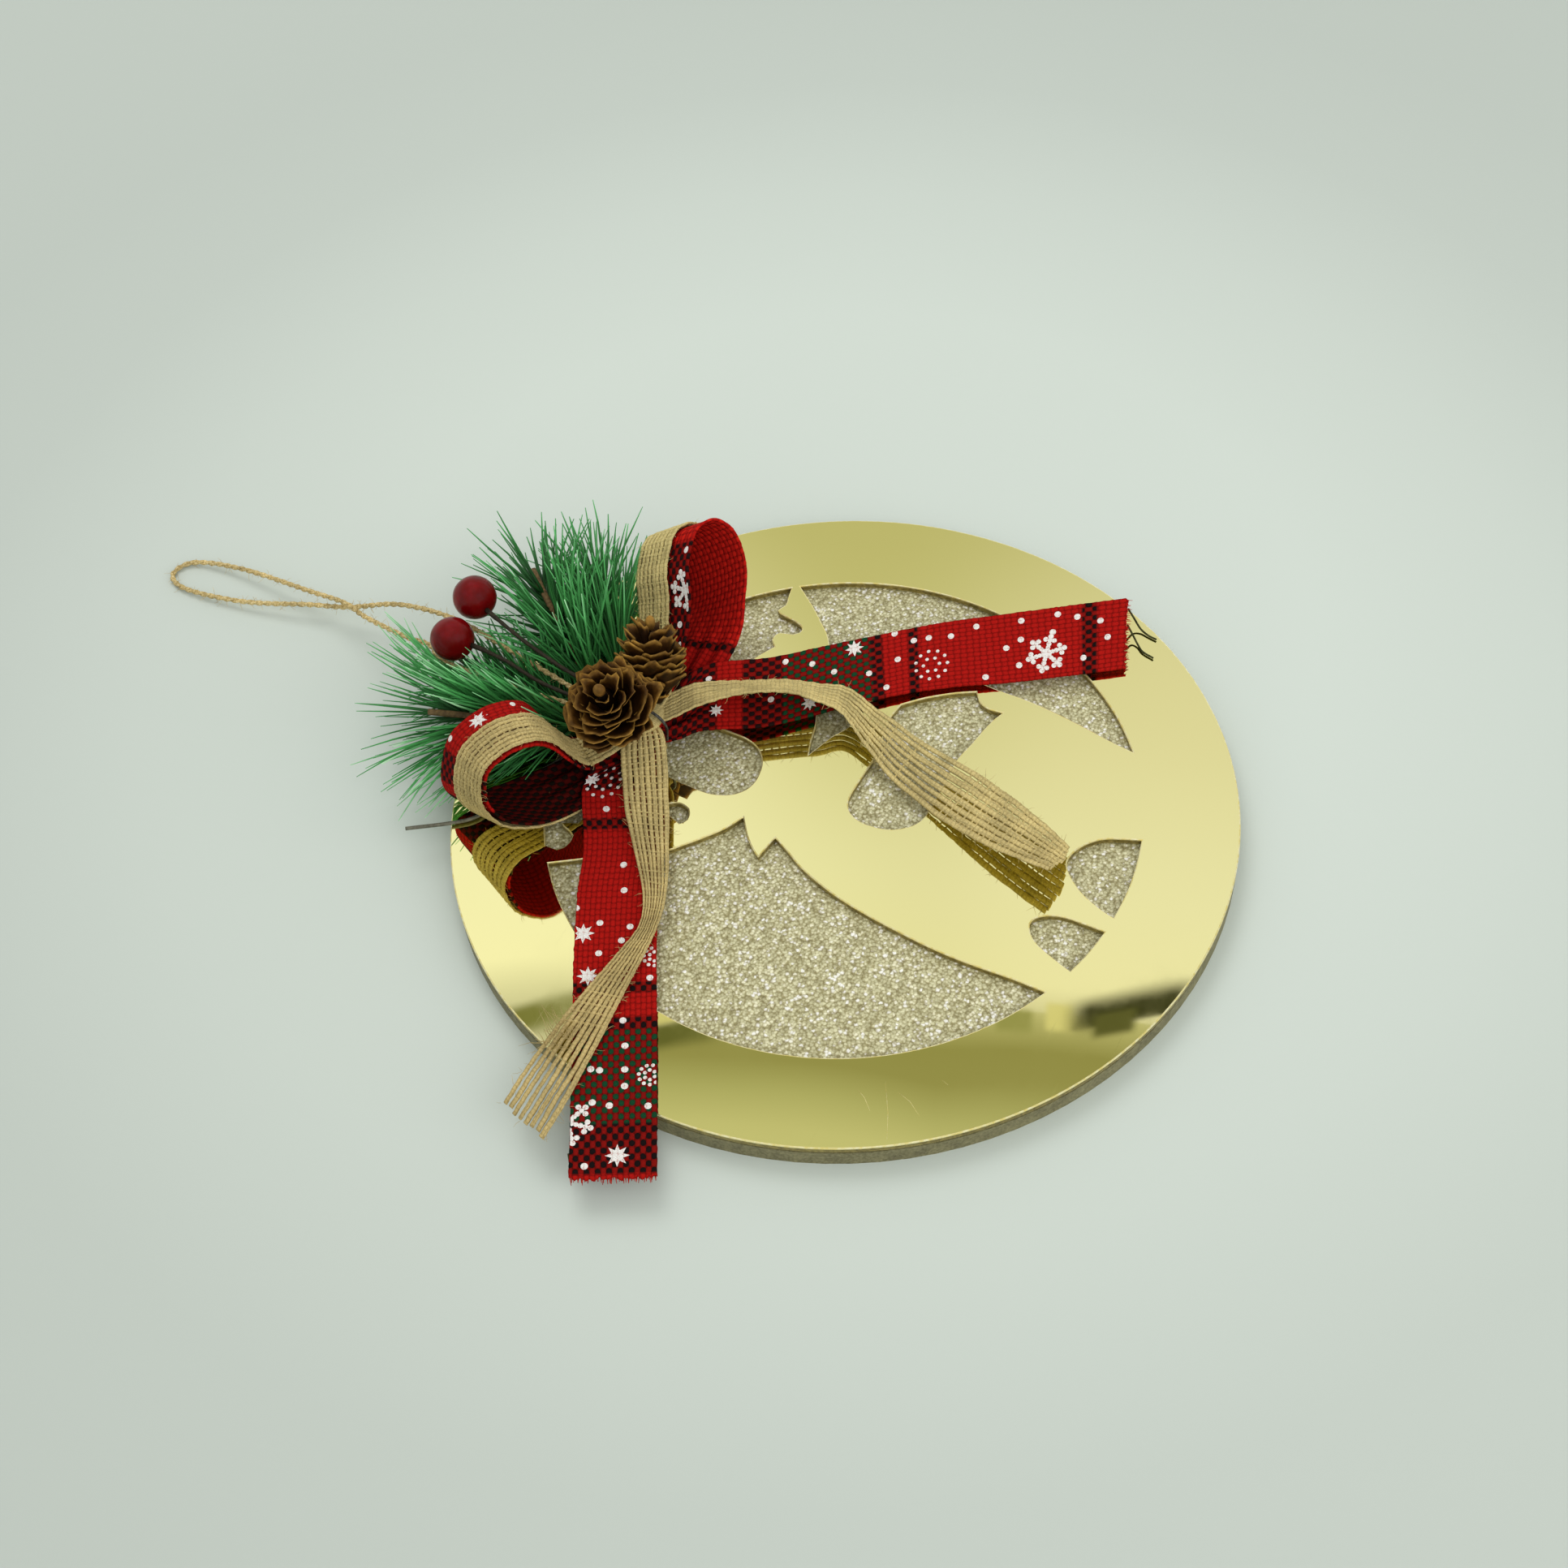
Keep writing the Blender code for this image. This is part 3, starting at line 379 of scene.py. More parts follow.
def tube_mesh(routes, sides=2):
    """A bmesh of round rods: each route is rows of (place, radius), and its ends are closed."""
    curve = bpy.data.curves.new("rods", "CURVE")
    curve.dimensions = "3D"
    curve.bevel_depth = 1.0
    curve.bevel_resolution = sides
    curve.use_fill_caps = True
    for route in routes:
        spline = curve.splines.new("POLY")
        spline.points.add(len(route) - 1)
        for point, (spot, radius) in zip(spline.points, route):
            point.co = (*spot, 1)
            point.radius = radius
    helper = bpy.data.objects.new("rods", curve)
    bpy.context.scene.collection.objects.link(helper)
    bpy.context.view_layer.update()
    data = bpy.data.meshes.new_from_object(helper.evaluated_get(bpy.context.evaluated_depsgraph_get()))
    bpy.data.objects.remove(helper)
    shape = bmesh.new()
    shape.from_mesh(data)
    bpy.data.meshes.remove(data)
    bmesh.ops.remove_doubles(shape, verts=shape.verts, dist=1e-8)
    return shape


outline = bpy.data.curves.new("mirror_outline", "CURVE")
outline.dimensions = "2D"
outline.fill_mode = "BOTH"
outline.resolution_u = 5
outline.extrude = (PANEL_TOP - PANEL_BOTTOM) / 2 - EDGE_ROUND
outline.bevel_depth = EDGE_ROUND
outline.bevel_resolution = 1
outline.offset = -EDGE_ROUND
for loop in outline_loops(panel_shape, PANEL_TOP):
    points = [loop[0]]
    for point in loop[1:]:
        if (point - points[-1]).length > 2e-5:
            points.append(point)
    spline = outline.splines.new("BEZIER")
    spline.use_cyclic_u = True
    spline.bezier_points.add(len(points) - 1)
    for k, point in enumerate(points):
        before, after = point - points[k - 1], points[(k + 1) % len(points)] - point
        corner = before.angle(after) > CORNER
        target = spline.bezier_points[k]
        target.co = (point.x, point.y, 0)
        target.handle_left_type = target.handle_right_type = "VECTOR" if corner else "AUTO"
panel_shape.free()
cut_panel = bpy.data.objects.new("mirror_outline", outline)
bpy.context.scene.collection.objects.link(cut_panel)
bpy.context.view_layer.update()
panel_data = bpy.data.meshes.new_from_object(cut_panel.evaluated_get(bpy.context.evaluated_depsgraph_get()))
bpy.data.objects.remove(cut_panel)
panel = bmesh.new()
panel.from_mesh(panel_data)
bpy.data.meshes.remove(panel_data)
bmesh.ops.remove_doubles(panel, verts=panel.verts, dist=1e-7)
bmesh.ops.translate(panel, verts=panel.verts, vec=(0, 0, (PANEL_TOP + PANEL_BOTTOM) / 2))

scratch = bpy.data.node_groups.new("worn_surface", "ShaderNodeTree")
scratch.interface.new_socket("Place", in_out="INPUT", socket_type="NodeSocketVector")
scratch.interface.new_socket("Scale", in_out="INPUT", socket_type="NodeSocketFloat")
scratch.interface.new_socket("Smudge", in_out="OUTPUT", socket_type="NodeSocketFloat")
scratch.interface.new_socket("Scratch", in_out="OUTPUT", socket_type="NodeSocketFloat")
group_in = scratch.nodes.new("NodeGroupInput")
group_out = scratch.nodes.new("NodeGroupOutput")
scaled = node(scratch, "ShaderNodeVectorMath", links={0: group_in.outputs[0], "Scale": group_in.outputs[1]},
              operation="SCALE")
cloud = speckle(scratch, scaled.outputs[0], 0.35, 5.0, 0.6)
scratch.links.new(ramp(scratch, cloud, [(0.45, 0.0), (0.8, 1.0)]), group_out.inputs[0])
lines = None
for turn in (0.4, 1.5, 2.6):
    turned = node(scratch, "ShaderNodeMapping", {"Rotation": (0, 0, turn), "Scale": (0.30, 16.0, 1.0)},
                  {"Vector": scaled.outputs[0]})
    thin = speckle(scratch, turned.outputs[0], 1.0, 1.0)
    line = ramp(scratch, thin, [(0.765, 0.0), (0.83, 1.0)])
    lines = line if lines is None else maths(scratch, "MAXIMUM", lines, line)
scratch.links.new(lines, group_out.inputs[1])

mirror_finish, tree, shader = shader_material("gold_mirror")
place = node(tree, "ShaderNodeTexCoord").outputs["Object"]
wear = node(tree, "ShaderNodeGroup", {"Scale": 110.0}, {"Place": place}, node_tree=scratch)
plain_values(shader, Base_Color=(1.0, 0.93, 0.36, 1), Metallic=1.0)
tree.links.new(maths(tree, "ADD", maths(tree, "MULTIPLY_ADD", wear.outputs["Smudge"], 0.05, 0.015),
                     maths(tree, "MULTIPLY", wear.outputs["Scratch"], 0.05)), shader.inputs["Roughness"])
waver = speckle(tree, place, 28.0, 0.0)
relief(tree, shader, (waver, 0.10, 0.0003))
edge_finish, tree, shader = shader_material("mirror_cut_edge")
place = node(tree, "ShaderNodeTexCoord").outputs["Object"]
streaks = speckle(tree, place, 900.0)
tree.links.new(ramp(tree, streaks, [(0.3, (0.17, 0.13, 0.035)), (0.7, (0.38, 0.30, 0.09))]),
               shader.inputs["Base Color"])
plain_values(shader, Metallic=0.6, Roughness=0.32)
rim_finish, tree, shader = shader_material("melted_rim")
place = node(tree, "ShaderNodeTexCoord").outputs["Object"]
beads = speckle(tree, place, 700.0, 2.0)
tree.links.new(ramp(tree, beads, [(0.35, (0.86, 0.72, 0.25)), (0.65, (0.97, 0.90, 0.55))]),
               shader.inputs["Base Color"])
plain_values(shader, Metallic=0.7, Roughness=0.25)
relief(tree, shader, (beads, 0.5, 0.0002))
for face in panel.faces:
    upright = abs(face.normal.z)
    face.material_index = 1 if upright < SIDE_FACING else 0 if upright > FLAT_FACING else 2
mirror = finished("gold_mirror_panel", panel, [mirror_finish, edge_finish, rim_finish],
                  smooth_faces=False)
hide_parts("mirror_panel")
# A few hair scratches on the ring, by their places in millimetres.
SCRATCH_RADIUS = 0.00006
SCRATCHES = [[(-70.5, -44.1), (-77.9, -48.1), (-84.2, -50.7)],
             [(-75.1, -39.2), (-76.3, -41.4), (-79.0, -44.1)],
             [(-71.9, -48.0), (-73.0, -51.4), (-75.6, -55.0)], [(-64.7, -55.7), (-65.4, -57.7)]]
hair_lines = tube_mesh([[(Vector((x * MM, y * MM, PANEL_TOP)),
                          SCRATCH_RADIUS * (0.4 if k in (0, len(rows) - 1) else 1))
                         for k, (x, y) in enumerate(rows)] for rows in SCRATCHES], sides=0)
finished("mirror_scratches", hair_lines, rim_finish)

# Plaid ribbon. A 20 mm red cotton ribbon, plainly woven with dark green and black cross bands and
# printed with white snow. Two loops and two tails are pinched together in its middle.
PLAID_WIDTH = 0.020
PLAID_THICKNESS = 0.0006
WARP_PITCH = 0.00129
WEFT_PITCH = 0.00175
PLAID_COLUMNS = 46
PLAID_STEP = 0.00068
PICOT = 0.00032
PLEATS = 3.5
PLEAT_RISE = 0.0016
EDGE_RISE = 0.00022
# How far a station's middle lies from the knot and its height over the panel in millimetres, the
# heading and tilt of the line across in degrees, and the width as a share of the whole.
PLAID_LEFT_LOOP = [
    (-1, 0, 7.0, 55, 0, 0.40), (-8, 5.0, 6.6, 54, -6, 0.60), (-14.5, 11.5, 8.6, 52, -12, 0.82),
    (-18, 14.6, 16.2, 52, -10, 0.95), (-21, 16.5, 23.8, 52, -10, 1), (-25.2, 17.0, 29.6, 50, -12, 1),
    (-29.5, 19.2, 32.2, 51, -11, 1), (-33.5, 22.3, 31.8, 54, -10, 1), (-38, 26.8, 26.7, 62, -12, 1),
    (-40.7, 28.5, 17.7, 70, -18, 1), (-40.6, 28.3, 10.7, 74, -19, 1), (-38.5, 25.5, 5.6, 76, -12, 1),
    (-32, 19.0, 3.3, 74, -6, 1), (-21, 11.0, 2.8, 68, -3, 0.85), (-10, 4.5, 3.6, 62, 0, 0.60),
    (-1, 0, 5.0, 60, 0, 0.40)]
PLAID_RIGHT_LOOP = [
    (1, 0, 7.0, 85, 0, 0.40), (10, 3.0, 6.9, 84, -10, 0.60), (20, 6.5, 8.6, 82, -20, 0.80),
    (28.7, 8.7, 12.6, 84, -30, 0.95), (33.9, 10.8, 18.0, 87, -33, 1), (37.0, 12.5, 22.5, 88, -34, 1),
    (41.0, 13.8, 25.0, 87, -34, 1), (46, 14.2, 28.5, 92, -35, 1), (50.7, 11.9, 28.0, 98, -35, 1),
    (52.3, 8.0, 24.0, 101, -34, 1), (51.0, 4.9, 18.2, 103, -34, 1), (48.5, 3.0, 12.8, 103, -34, 1),
    (44.6, 1.9, 8.8, 100, -32, 1), (37, 0.5, 5.6, 94, -18, 0.95), (26, 0, 4.3, 90, -8, 0.80),
    (13, 0, 4.4, 88, -2, 0.60), (1, 0, 5.0, 85, 0, 0.40)]
PLAID_LEFT_TAIL = [
    (-1, -1, 5.4, -60, 0, 0.40), (-8, -1.0, 5.4, -56, 0, 0.75), (-16.5, -2.0, 4.3, -63, 0, 1),
    (-32, -10.5, 2.0, -64, 0, 1), (-45.5, -16.0, 0.9, -64, 0, 1), (-62, -24.2, 0.7, -64, 0, 1),
    (-76.5, -32.0, 0.7, -63, 0, 1), (-96, -42.4, 0.7, -63, 0, 1), (-115, -52.4, 0.3, -64, 0, 1)]
PLAID_RIGHT_TAIL = [
    (1, -1, 6.2, 30, 0, 0.40), (8, -5.0, 6.4, 28, 8, 0.70), (16.6, -9.1, 5.9, 26, 12, 0.95),
    (26.5, -23.2, 4.2, 25, 13, 1), (42.5, -40.3, 2.8, 28, 7, 1), (55.5, -56.8, 2.6, 25, 9, 1),
    (66.6, -76.5, 3.7, 27, 15, 1), (81.7, -101.0, 4.4, 19, 20, 1)]
# The cross bands of each run by distance from the knot in millimetres: where each starts, and its
# colour. Every band's weft shows on the alternate crossings over the red warp.
RED, DARK = (0.33, 0.007, 0.005), (0.014, 0.005, 0.005)
GREEN, BLACK = (0.006, 0.050, 0.019), (0.008, 0.005, 0.005)
WARP_RED = (0.34, 0.007, 0.005)
# The lighter red is painted light on the right loop's far side, where light falls into the loop, and the near
# black is painted shade on the left loop's lower strand; neither is a dye.
PAINTED_LIT_RED, PAINTED_SHADE = (0.50, 0.012, 0.007), (0.0075, 0.0045, 0.003)
# How red the warp stays under a band: all of it under the red ones, less under the dark ones, and almost none
# under the painted shade of the left loop's lower strand.
WARP_SHARES = {RED: 1.0, PAINTED_LIT_RED: 1.0, PAINTED_SHADE: 0.06}
DARK_WARP_SHARE = 0.46
PLAID_BANDS = {"left_tail": [(0, DARK), (17.5, RED), (25.7, BLACK), (28.7, RED), (73.6, BLACK), (77.1, RED),
                             (84, BLACK), (87.5, GREEN), (112.5, BLACK), (125.6, RED)],
               "right_tail": [(0, DARK), (21, RED), (27.5, DARK), (38.5, GREEN), (63, BLACK), (66.5, RED),
                              (72.8, BLACK), (75.6, RED), (119.3, BLACK), (123.4, RED)],
               "left_loop": [(0, DARK), (27, RED), (64.5, DARK), (74, RED), (79, PAINTED_SHADE)],
               "right_loop": [(0, RED), (18, DARK), (52, PAINTED_LIT_RED), (95.5, BLACK), (98.6, RED),
                              (106, DARK)]}
# The white print by distance from the middle of the ribbon and from the knot in millimetres: eight-armed
# stars, branching flakes and dots, each with its radius.
DOT_RADIUS = 0.88
RING_DOT_RADIUS = 0.50
PRINT_REACH = 10.3
STARS = {"left_tail": [(-8, 59.5, 2.9), (-6.5, 72, 2.8), (1, 121, 2.9), (-8.3, 14, 2.1)],
         "right_tail": [(7.4, 58.5, 2.6), (-6, 45.5, 2.4), (-4.5, 20.5, 2.0)],
         "left_loop": [(6.6, 54, 2.6)]}
FLAKES = {"left_tail": [(-10.6, 112, 6.0)], "right_tail": [(-3, 109.5, 5.4)],
          "right_loop": [(-8.4, 39.5, 5.2)]}
DOTTED_RINGS = {"left_tail": [(8.4, 100.3, 2.6), (9.6, 67, 2.6), (-4.9, 15.0, 4.3)],
                "right_tail": [(-2.5, 79, 4.3)]}
DOTS = {"left_tail": [(0.5, 39.5), (1.5, 47), (-4, 56.5), (3.5, 58), (1.5, 62), (-4, 65.5), (8.5, 73),
                      (2, 85), (2.5, 92), (-5.5, 98), (-3.4, 98.4), (2.5, 98.5), (2.5, 103), (-5, 107),
                      (-1, 108), (8, 108.5), (-6.5, 123.5), (-4, 23), (-10, 52)],
        "right_tail": [(5.5, 18.5), (5.5, 46.5), (1.5, 52.5), (-1.5, 62), (0, 43.5), (-7, 56.5), (1, 70),
                       (9.4, 69.5), (-7, 66.5), (6, 74.5), (6, 78.5), (5.5, 84.5), (7.5, 91.5), (-2.5, 35),
                       (8, 39), (7.5, 103.5), (0, 99), (2, 103), (-5.5, 102), (3, 111.5), (8, 113),
                       (6.5, 118), (4.5, 124), (-0.5, 126), (-5.5, 119.5), (-8, 93)],
        "left_loop": [(8, 44.5), (9, 62)],
        "right_loop": [(-6.5, 31), (-7.5, 26), (-8.5, 50), (8.5, 36), (8, 44)]}


def smooth(rows, steps):
    """Rows of numbers along the smooth curve through the rows given, with steps rows to a span."""
    rows = [Vector(row) for row in rows]
    rows = [rows[0] * 2 - rows[1], *rows, rows[-1] * 2 - rows[-2]]
    found = []
    for before, start, end, after in zip(rows, rows[1:], rows[2:], rows[3:]):
        for step in range(steps):
            t = step / steps
            found.append(start + (end - before) * (t / 2)
                         + (before * 2 - start * 5 + end * 4 - after) * (t * t / 2)
                         + (start * 3 - end * 3 + after - before) * (t * t * t / 2))
    return [*found, rows[-2]]


def from_knot(spot):
    """The place of a point that is given in millimetres from the knot."""
    return knot + Vector(spot) * MM


def ribbon_line(stations, width):
    """Close rows of [middle, line across, width, distance run] along a ribbon's stations."""
    line = []
    run = 0.0
    for x, y, z, heading, tilt, share in smooth(stations, 12):
        heading, tilt = math.radians(heading), math.radians(tilt)
        across = Vector((math.cos(tilt) * math.cos(heading), math.cos(tilt) * math.sin(heading),
                         math.sin(tilt)))
        middle = from_knot((x, y, z))
        if line:
            run += (middle - line[-1][0]).length
        line.append([middle, across, share * width, run])
    return line


def line_at(line, run):
    """Middle, line across, width, way ahead and way out of a ribbon at a distance along it."""
    low = 0
    high = len(line) - 1
    while high - low > 1:
        mid = (low + high) // 2
        if line[mid][3] <= run:
            low = mid
        else:
            high = mid
    (a, across_a, width_a, run_a), (b, across_b, width_b, run_b) = line[low], line[high]
    t = (run - run_a) / max(run_b - run_a, 1e-9)
    ahead = (line[min(high + 1, len(line) - 1)][0] - line[max(low - 1, 0)][0]).normalized()
    across = across_a.lerp(across_b, t).normalized()
    return a.lerp(b, t), across, width_a + (width_b - width_a) * t, ahead, ahead.cross(across).normalized()


def lay_map(made, uv, spots):
    """Writes each vertex's place on the map to the corners of its faces, and returns the faces."""
    faces = list({face for vertex in made for face in vertex.link_faces})
    for face in faces:
        for loop in face.loops:
            loop[uv].uv = spots[loop.vert]
    return faces


def cloth_run(shape, line, columns, step, cut_width, bands, rise, first=0.0, ragged=0.0):
    """Lays one length of cloth along a line: a grid whose rise off the line is given by a function of
    the share across, the distance and the gather. Its map is in millimetres across and along, and a
    ragged end is frayed by that much."""
    length = line[-1][3]
    rows = round(length / step)
    seedling = length * 1000
    uv = shape.loops.layers.uv.get("map") or shape.loops.layers.uv.new("map")
    tint = shape.verts.layers.float_color.get("weft") or shape.verts.layers.float_color.new("weft")
    made = bmesh.ops.create_grid(shape, x_segments=columns, y_segments=rows, size=1)["verts"]
    spots = {}
    for vertex in made:
        share, run = vertex.co.x / 2, (vertex.co.y + 1) / 2 * length
        if run > length - step / 2:
            run += ragged * (noise.noise(Vector((share * 23, seedling, 0)))
                             + 0.5 * noise.noise(Vector((share * 61, seedling, 4))))
        middle, across, width, ahead, out = line_at(line, run)
        gather = 1 - width / cut_width
        picot = PICOT * noise.noise(Vector((run * 1300, share * 9, seedling))) if abs(share) > 0.49 else 0
        raised = out * rise(share, run, gather)
        vertex.co = middle + across * (share * width + math.copysign(picot, share)) + raised
        spots[vertex] = (share * cut_width / MM, (run + first) / MM)
        # Each vertex keeps its band's colour and warp share, the painted light and painted shade bands among
        # them.
        colour = [colour for start, colour in bands if start * MM <= run + 1e-9][-1]
        vertex[tint] = (*colour, WARP_SHARES.get(colour, DARK_WARP_SHARE))
    lay_map(made, uv, spots)


def plaid_rise(seed):
    """How far the plaid stands off its line: gathers at the knot, a faint crown, wired edges and waves."""
    def rise(share, run, gather):
        pleat = math.sin(share * 2 * math.pi * PLEATS + seed) * min(PLEAT_RISE, 0.0042 * max(0, gather))
        edge = EDGE_RISE * max(0, abs(share) * 2 - 0.88) / 0.12
        wave = EDGE_RISE * noise.noise(Vector((share * 2.5, run * 90, seed)))
        return pleat + edge + wave
    return rise


plaid = bmesh.new()
plaid_lines = {}
for k, (name, stations) in enumerate((("left_tail", PLAID_LEFT_TAIL), ("right_tail", PLAID_RIGHT_TAIL),
                                      ("left_loop", PLAID_LEFT_LOOP), ("right_loop", PLAID_RIGHT_LOOP))):
    line = ribbon_line(stations, PLAID_WIDTH)
    plaid_lines[name] = line
    cloth_run(plaid, line, PLAID_COLUMNS, PLAID_STEP, PLAID_WIDTH, PLAID_BANDS[name], plaid_rise(k * 2.1),
              first=0.2 * k, ragged=0.0011 if "tail" in name else 0)

weave = bpy.data.node_groups.new("plain_weave", "ShaderNodeTree")
weave.interface.new_socket("Map", in_out="INPUT", socket_type="NodeSocketVector")
weave.interface.new_socket("Warp Pitch", in_out="INPUT", socket_type="NodeSocketFloat")
weave.interface.new_socket("Weft Pitch", in_out="INPUT", socket_type="NodeSocketFloat")
weave.interface.new_socket("Warp Over", in_out="OUTPUT", socket_type="NodeSocketFloat")
weave.interface.new_socket("Height", in_out="OUTPUT", socket_type="NodeSocketFloat")
group_in = weave.nodes.new("NodeGroupInput")
group_out = weave.nodes.new("NodeGroupOutput")
wobble = node(weave, "ShaderNodeTexNoise", {"Scale": 0.8, "Detail": 1.0}, {"Vector": group_in.outputs[0]})
shaken = node(weave, "ShaderNodeVectorMath", {1: (0.35, 0.35, 0.0), 2: (0, 0, 0)},
              {0: wobble.outputs["Color"], 2: group_in.outputs[0]}, operation="MULTIPLY_ADD")
spread = node(weave, "ShaderNodeSeparateXYZ", links={0: shaken.outputs[0]})
warp_at = maths(weave, "DIVIDE", spread.outputs[0], group_in.outputs[1])
weft_at = maths(weave, "DIVIDE", spread.outputs[1], group_in.outputs[2])
warp_round = maths(weave, "SINE", maths(weave, "MULTIPLY", maths(weave, "FRACT", warp_at), math.pi))
weft_round = maths(weave, "SINE", maths(weave, "MULTIPLY", maths(weave, "FRACT", weft_at), math.pi))
warp_over = maths(weave, "FLOORED_MODULO", maths(weave, "ADD", maths(weave, "FLOOR", warp_at),
                                                 maths(weave, "FLOOR", weft_at)), 2.0)
floats = maths(weave, "MULTIPLY", maths(weave, "POWER", warp_round, 0.6),
               maths(weave, "POWER", weft_round, 1.3))
off_float = maths(weave, "MULTIPLY_ADD", maths(weave, "SUBTRACT", 1.0, warp_round), 0.74,
                  maths(weave, "MULTIPLY", maths(weave, "SUBTRACT", 1.0, weft_round), 1.12))
weft_shows = maths(weave, "MULTIPLY", maths(weave, "LESS_THAN", warp_over, 0.5),
                   maths(weave, "LESS_THAN", off_float, 1.0))
over = maths(weave, "SUBTRACT", 1.0, weft_shows)
warp_height = maths(weave, "MULTIPLY", maths(weave, "POWER", warp_round, 0.6),
                    maths(weave, "MULTIPLY_ADD", maths(weave, "POWER", weft_round, 0.5), 0.6, 0.4))
warp_height = maths(weave, "MULTIPLY", warp_height, maths(weave, "MULTIPLY_ADD", warp_over, 0.6, 0.4))
height = maths(weave, "ADD", maths(weave, "MULTIPLY", warp_height, over),
               maths(weave, "MULTIPLY", maths(weave, "MULTIPLY_ADD", floats, 0.6, 0.25), weft_shows))
weave.links.new(over, group_out.inputs[0])
weave.links.new(height, group_out.inputs[1])

plaid_finish, tree, shader = shader_material("plaid_cotton")
where = node(tree, "ShaderNodeUVMap", uv_map="map").outputs[0]
cloth = node(tree, "ShaderNodeGroup", {"Warp Pitch": WARP_PITCH / MM, "Weft Pitch": WEFT_PITCH / MM},
             {"Map": where}, node_tree=weave)
weft = node(tree, "ShaderNodeAttribute", attribute_name="weft")
fibre_map = node(tree, "ShaderNodeMapping", {"Scale": (6.0, 1.2, 1.0)}, {"Vector": where})
fibres = speckle(tree, fibre_map.outputs[0], 1.6, 4.0)
warp = mix_colour(tree, weft.outputs["Alpha"], (0.035, 0.003, 0.002), WARP_RED)
colour = mix_colour(tree, cloth.outputs["Warp Over"], weft.outputs["Color"], warp)
# The weave's height darkens the colour in its valleys: painted shade.
painted_shading = ramp(tree, cloth.outputs["Height"], [(0.0, 0.40), (0.35, 0.80), (0.8, 1.12)])
colour = mix_colour(tree, 1.0, colour, painted_shading, "MULTIPLY")
colour = mix_colour(tree, 1.0, colour, ramp(tree, fibres, [(0.3, 0.72), (0.7, 1.25)]), "MULTIPLY")
tree.links.new(colour, shader.inputs["Base Color"])
plain_values(shader, Roughness=0.9, Specular_IOR_Level=0.06)
relief(tree, shader, (cloth.outputs["Height"], 0.7, 0.00028), (fibres, 0.35, 0.0001))


def ink_shapes(name):
    """The prints on one run, each as (across, along, segments, radius, depth of the notches between arms)."""
    found = [(across, along, 16, radius, 0.50) for across, along, radius in STARS.get(name, [])]
    found += [(across, along, 10, DOT_RADIUS, 1.0) for across, along in DOTS.get(name, [])]
    for across, along, radius in FLAKES.get(name, []):
        for arm in range(6):
            a = arm * math.pi / 3 + 0.3
            for share, off, size in ((0.14, 0, 0.85), (0.34, 0, 0.62), (0.52, 0, 0.70), (0.72, 0, 0.64),
                                     (0.93, 0, 0.76), (0.74, 0.21, 0.72), (0.74, -0.21, 0.72)):
                found.append((across + radius * (share * math.cos(a) - off * math.sin(a)),
                              along + radius * (share * math.sin(a) + off * math.cos(a)), 8, size, 1.0))
    for across, along, radius in DOTTED_RINGS.get(name, []):
        for ring, count in ((1.0, 11), (0.5, 6)):
            for k in range(count):
                a = k * 2 * math.pi / count + ring
                found.append((across + radius * ring * math.cos(a), along + radius * ring * math.sin(a), 8,
                              RING_DOT_RADIUS, 1.0))
    return [shape for shape in found if abs(shape[0]) < PRINT_REACH]


ink = bmesh.new()
ink_map = ink.loops.layers.uv.new("map")
for k, (name, line) in enumerate(plaid_lines.items()):
    rise = plaid_rise(k * 2.1)
    heart = sum((row[0] for row in line), Vector()) / len(line)
    for across_mm, along_mm, segments, radius, notch in ink_shapes(name):
        made = bmesh.ops.create_circle(ink, cap_ends=True, cap_tris=True, segments=segments,
                                       radius=1)["verts"]
        spots = {}
        facing = Vector()
        for vertex in made:
            x, y = vertex.co.x, vertex.co.y
            around = round(math.atan2(y, x) / (2 * math.pi) * segments)
            size = radius * (notch if around % 2 else 1)
            share = max(-9.9, min(9.9, across_mm + x * size)) * MM / PLAID_WIDTH
            run = (along_mm + y * size) * MM
            middle, across, width, ahead, out = line_at(line, min(run, line[-1][3]))
            side = -1 if out.dot(Vector((0, 0, 1)) if "tail" in name else middle - heart) < 0 else 1
            dome = 0.00016 if x * x + y * y < 0.5 else 0.00003
            vertex.co = middle + across * (share * width) + out * (rise(share, run, 1 - width / PLAID_WIDTH)
                                                                  + side * (PLAID_THICKNESS / 2 + dome))
            facing += out * side
            spots[vertex] = (share * PLAID_WIDTH / MM, run / MM)
        patch = lay_map(made, ink_map, spots)
        for face in patch:
            face.normal_update()
        bmesh.ops.reverse_faces(ink, faces=[face for face in patch if face.normal.dot(facing) < 0])
ink_finish, tree, shader = shader_material("snow_ink")
where = node(tree, "ShaderNodeUVMap", uv_map="map").outputs[0]
cloth = node(tree, "ShaderNodeGroup", {"Warp Pitch": WARP_PITCH / MM, "Weft Pitch": WEFT_PITCH / MM},
             {"Map": where}, node_tree=weave)
crumb = speckle(tree, where, 3.0, 3.0)
colour = ramp(tree, crumb, [(0.3, (0.60, 0.57, 0.54)), (0.7, (0.86, 0.85, 0.83))])
# The print is reddened and darkened in the weave's valleys: partly the red cloth through thin ink, partly
# painted shade.
colour = mix_colour(tree, 1.0, colour, ramp(tree, cloth.outputs["Height"],
                                            [(0.05, (0.72, 0.45, 0.42)), (0.35, (1, 1, 1))]), "MULTIPLY")
tree.links.new(colour, shader.inputs["Base Color"])
plain_values(shader, Roughness=0.8, Specular_IOR_Level=0.15)
relief(tree, shader, (cloth.outputs["Height"], 0.5, 0.0002))
snow_print = finished("plaid_snow_print", ink, ink_finish, recalculate=False)
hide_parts("plaid_ribbon")


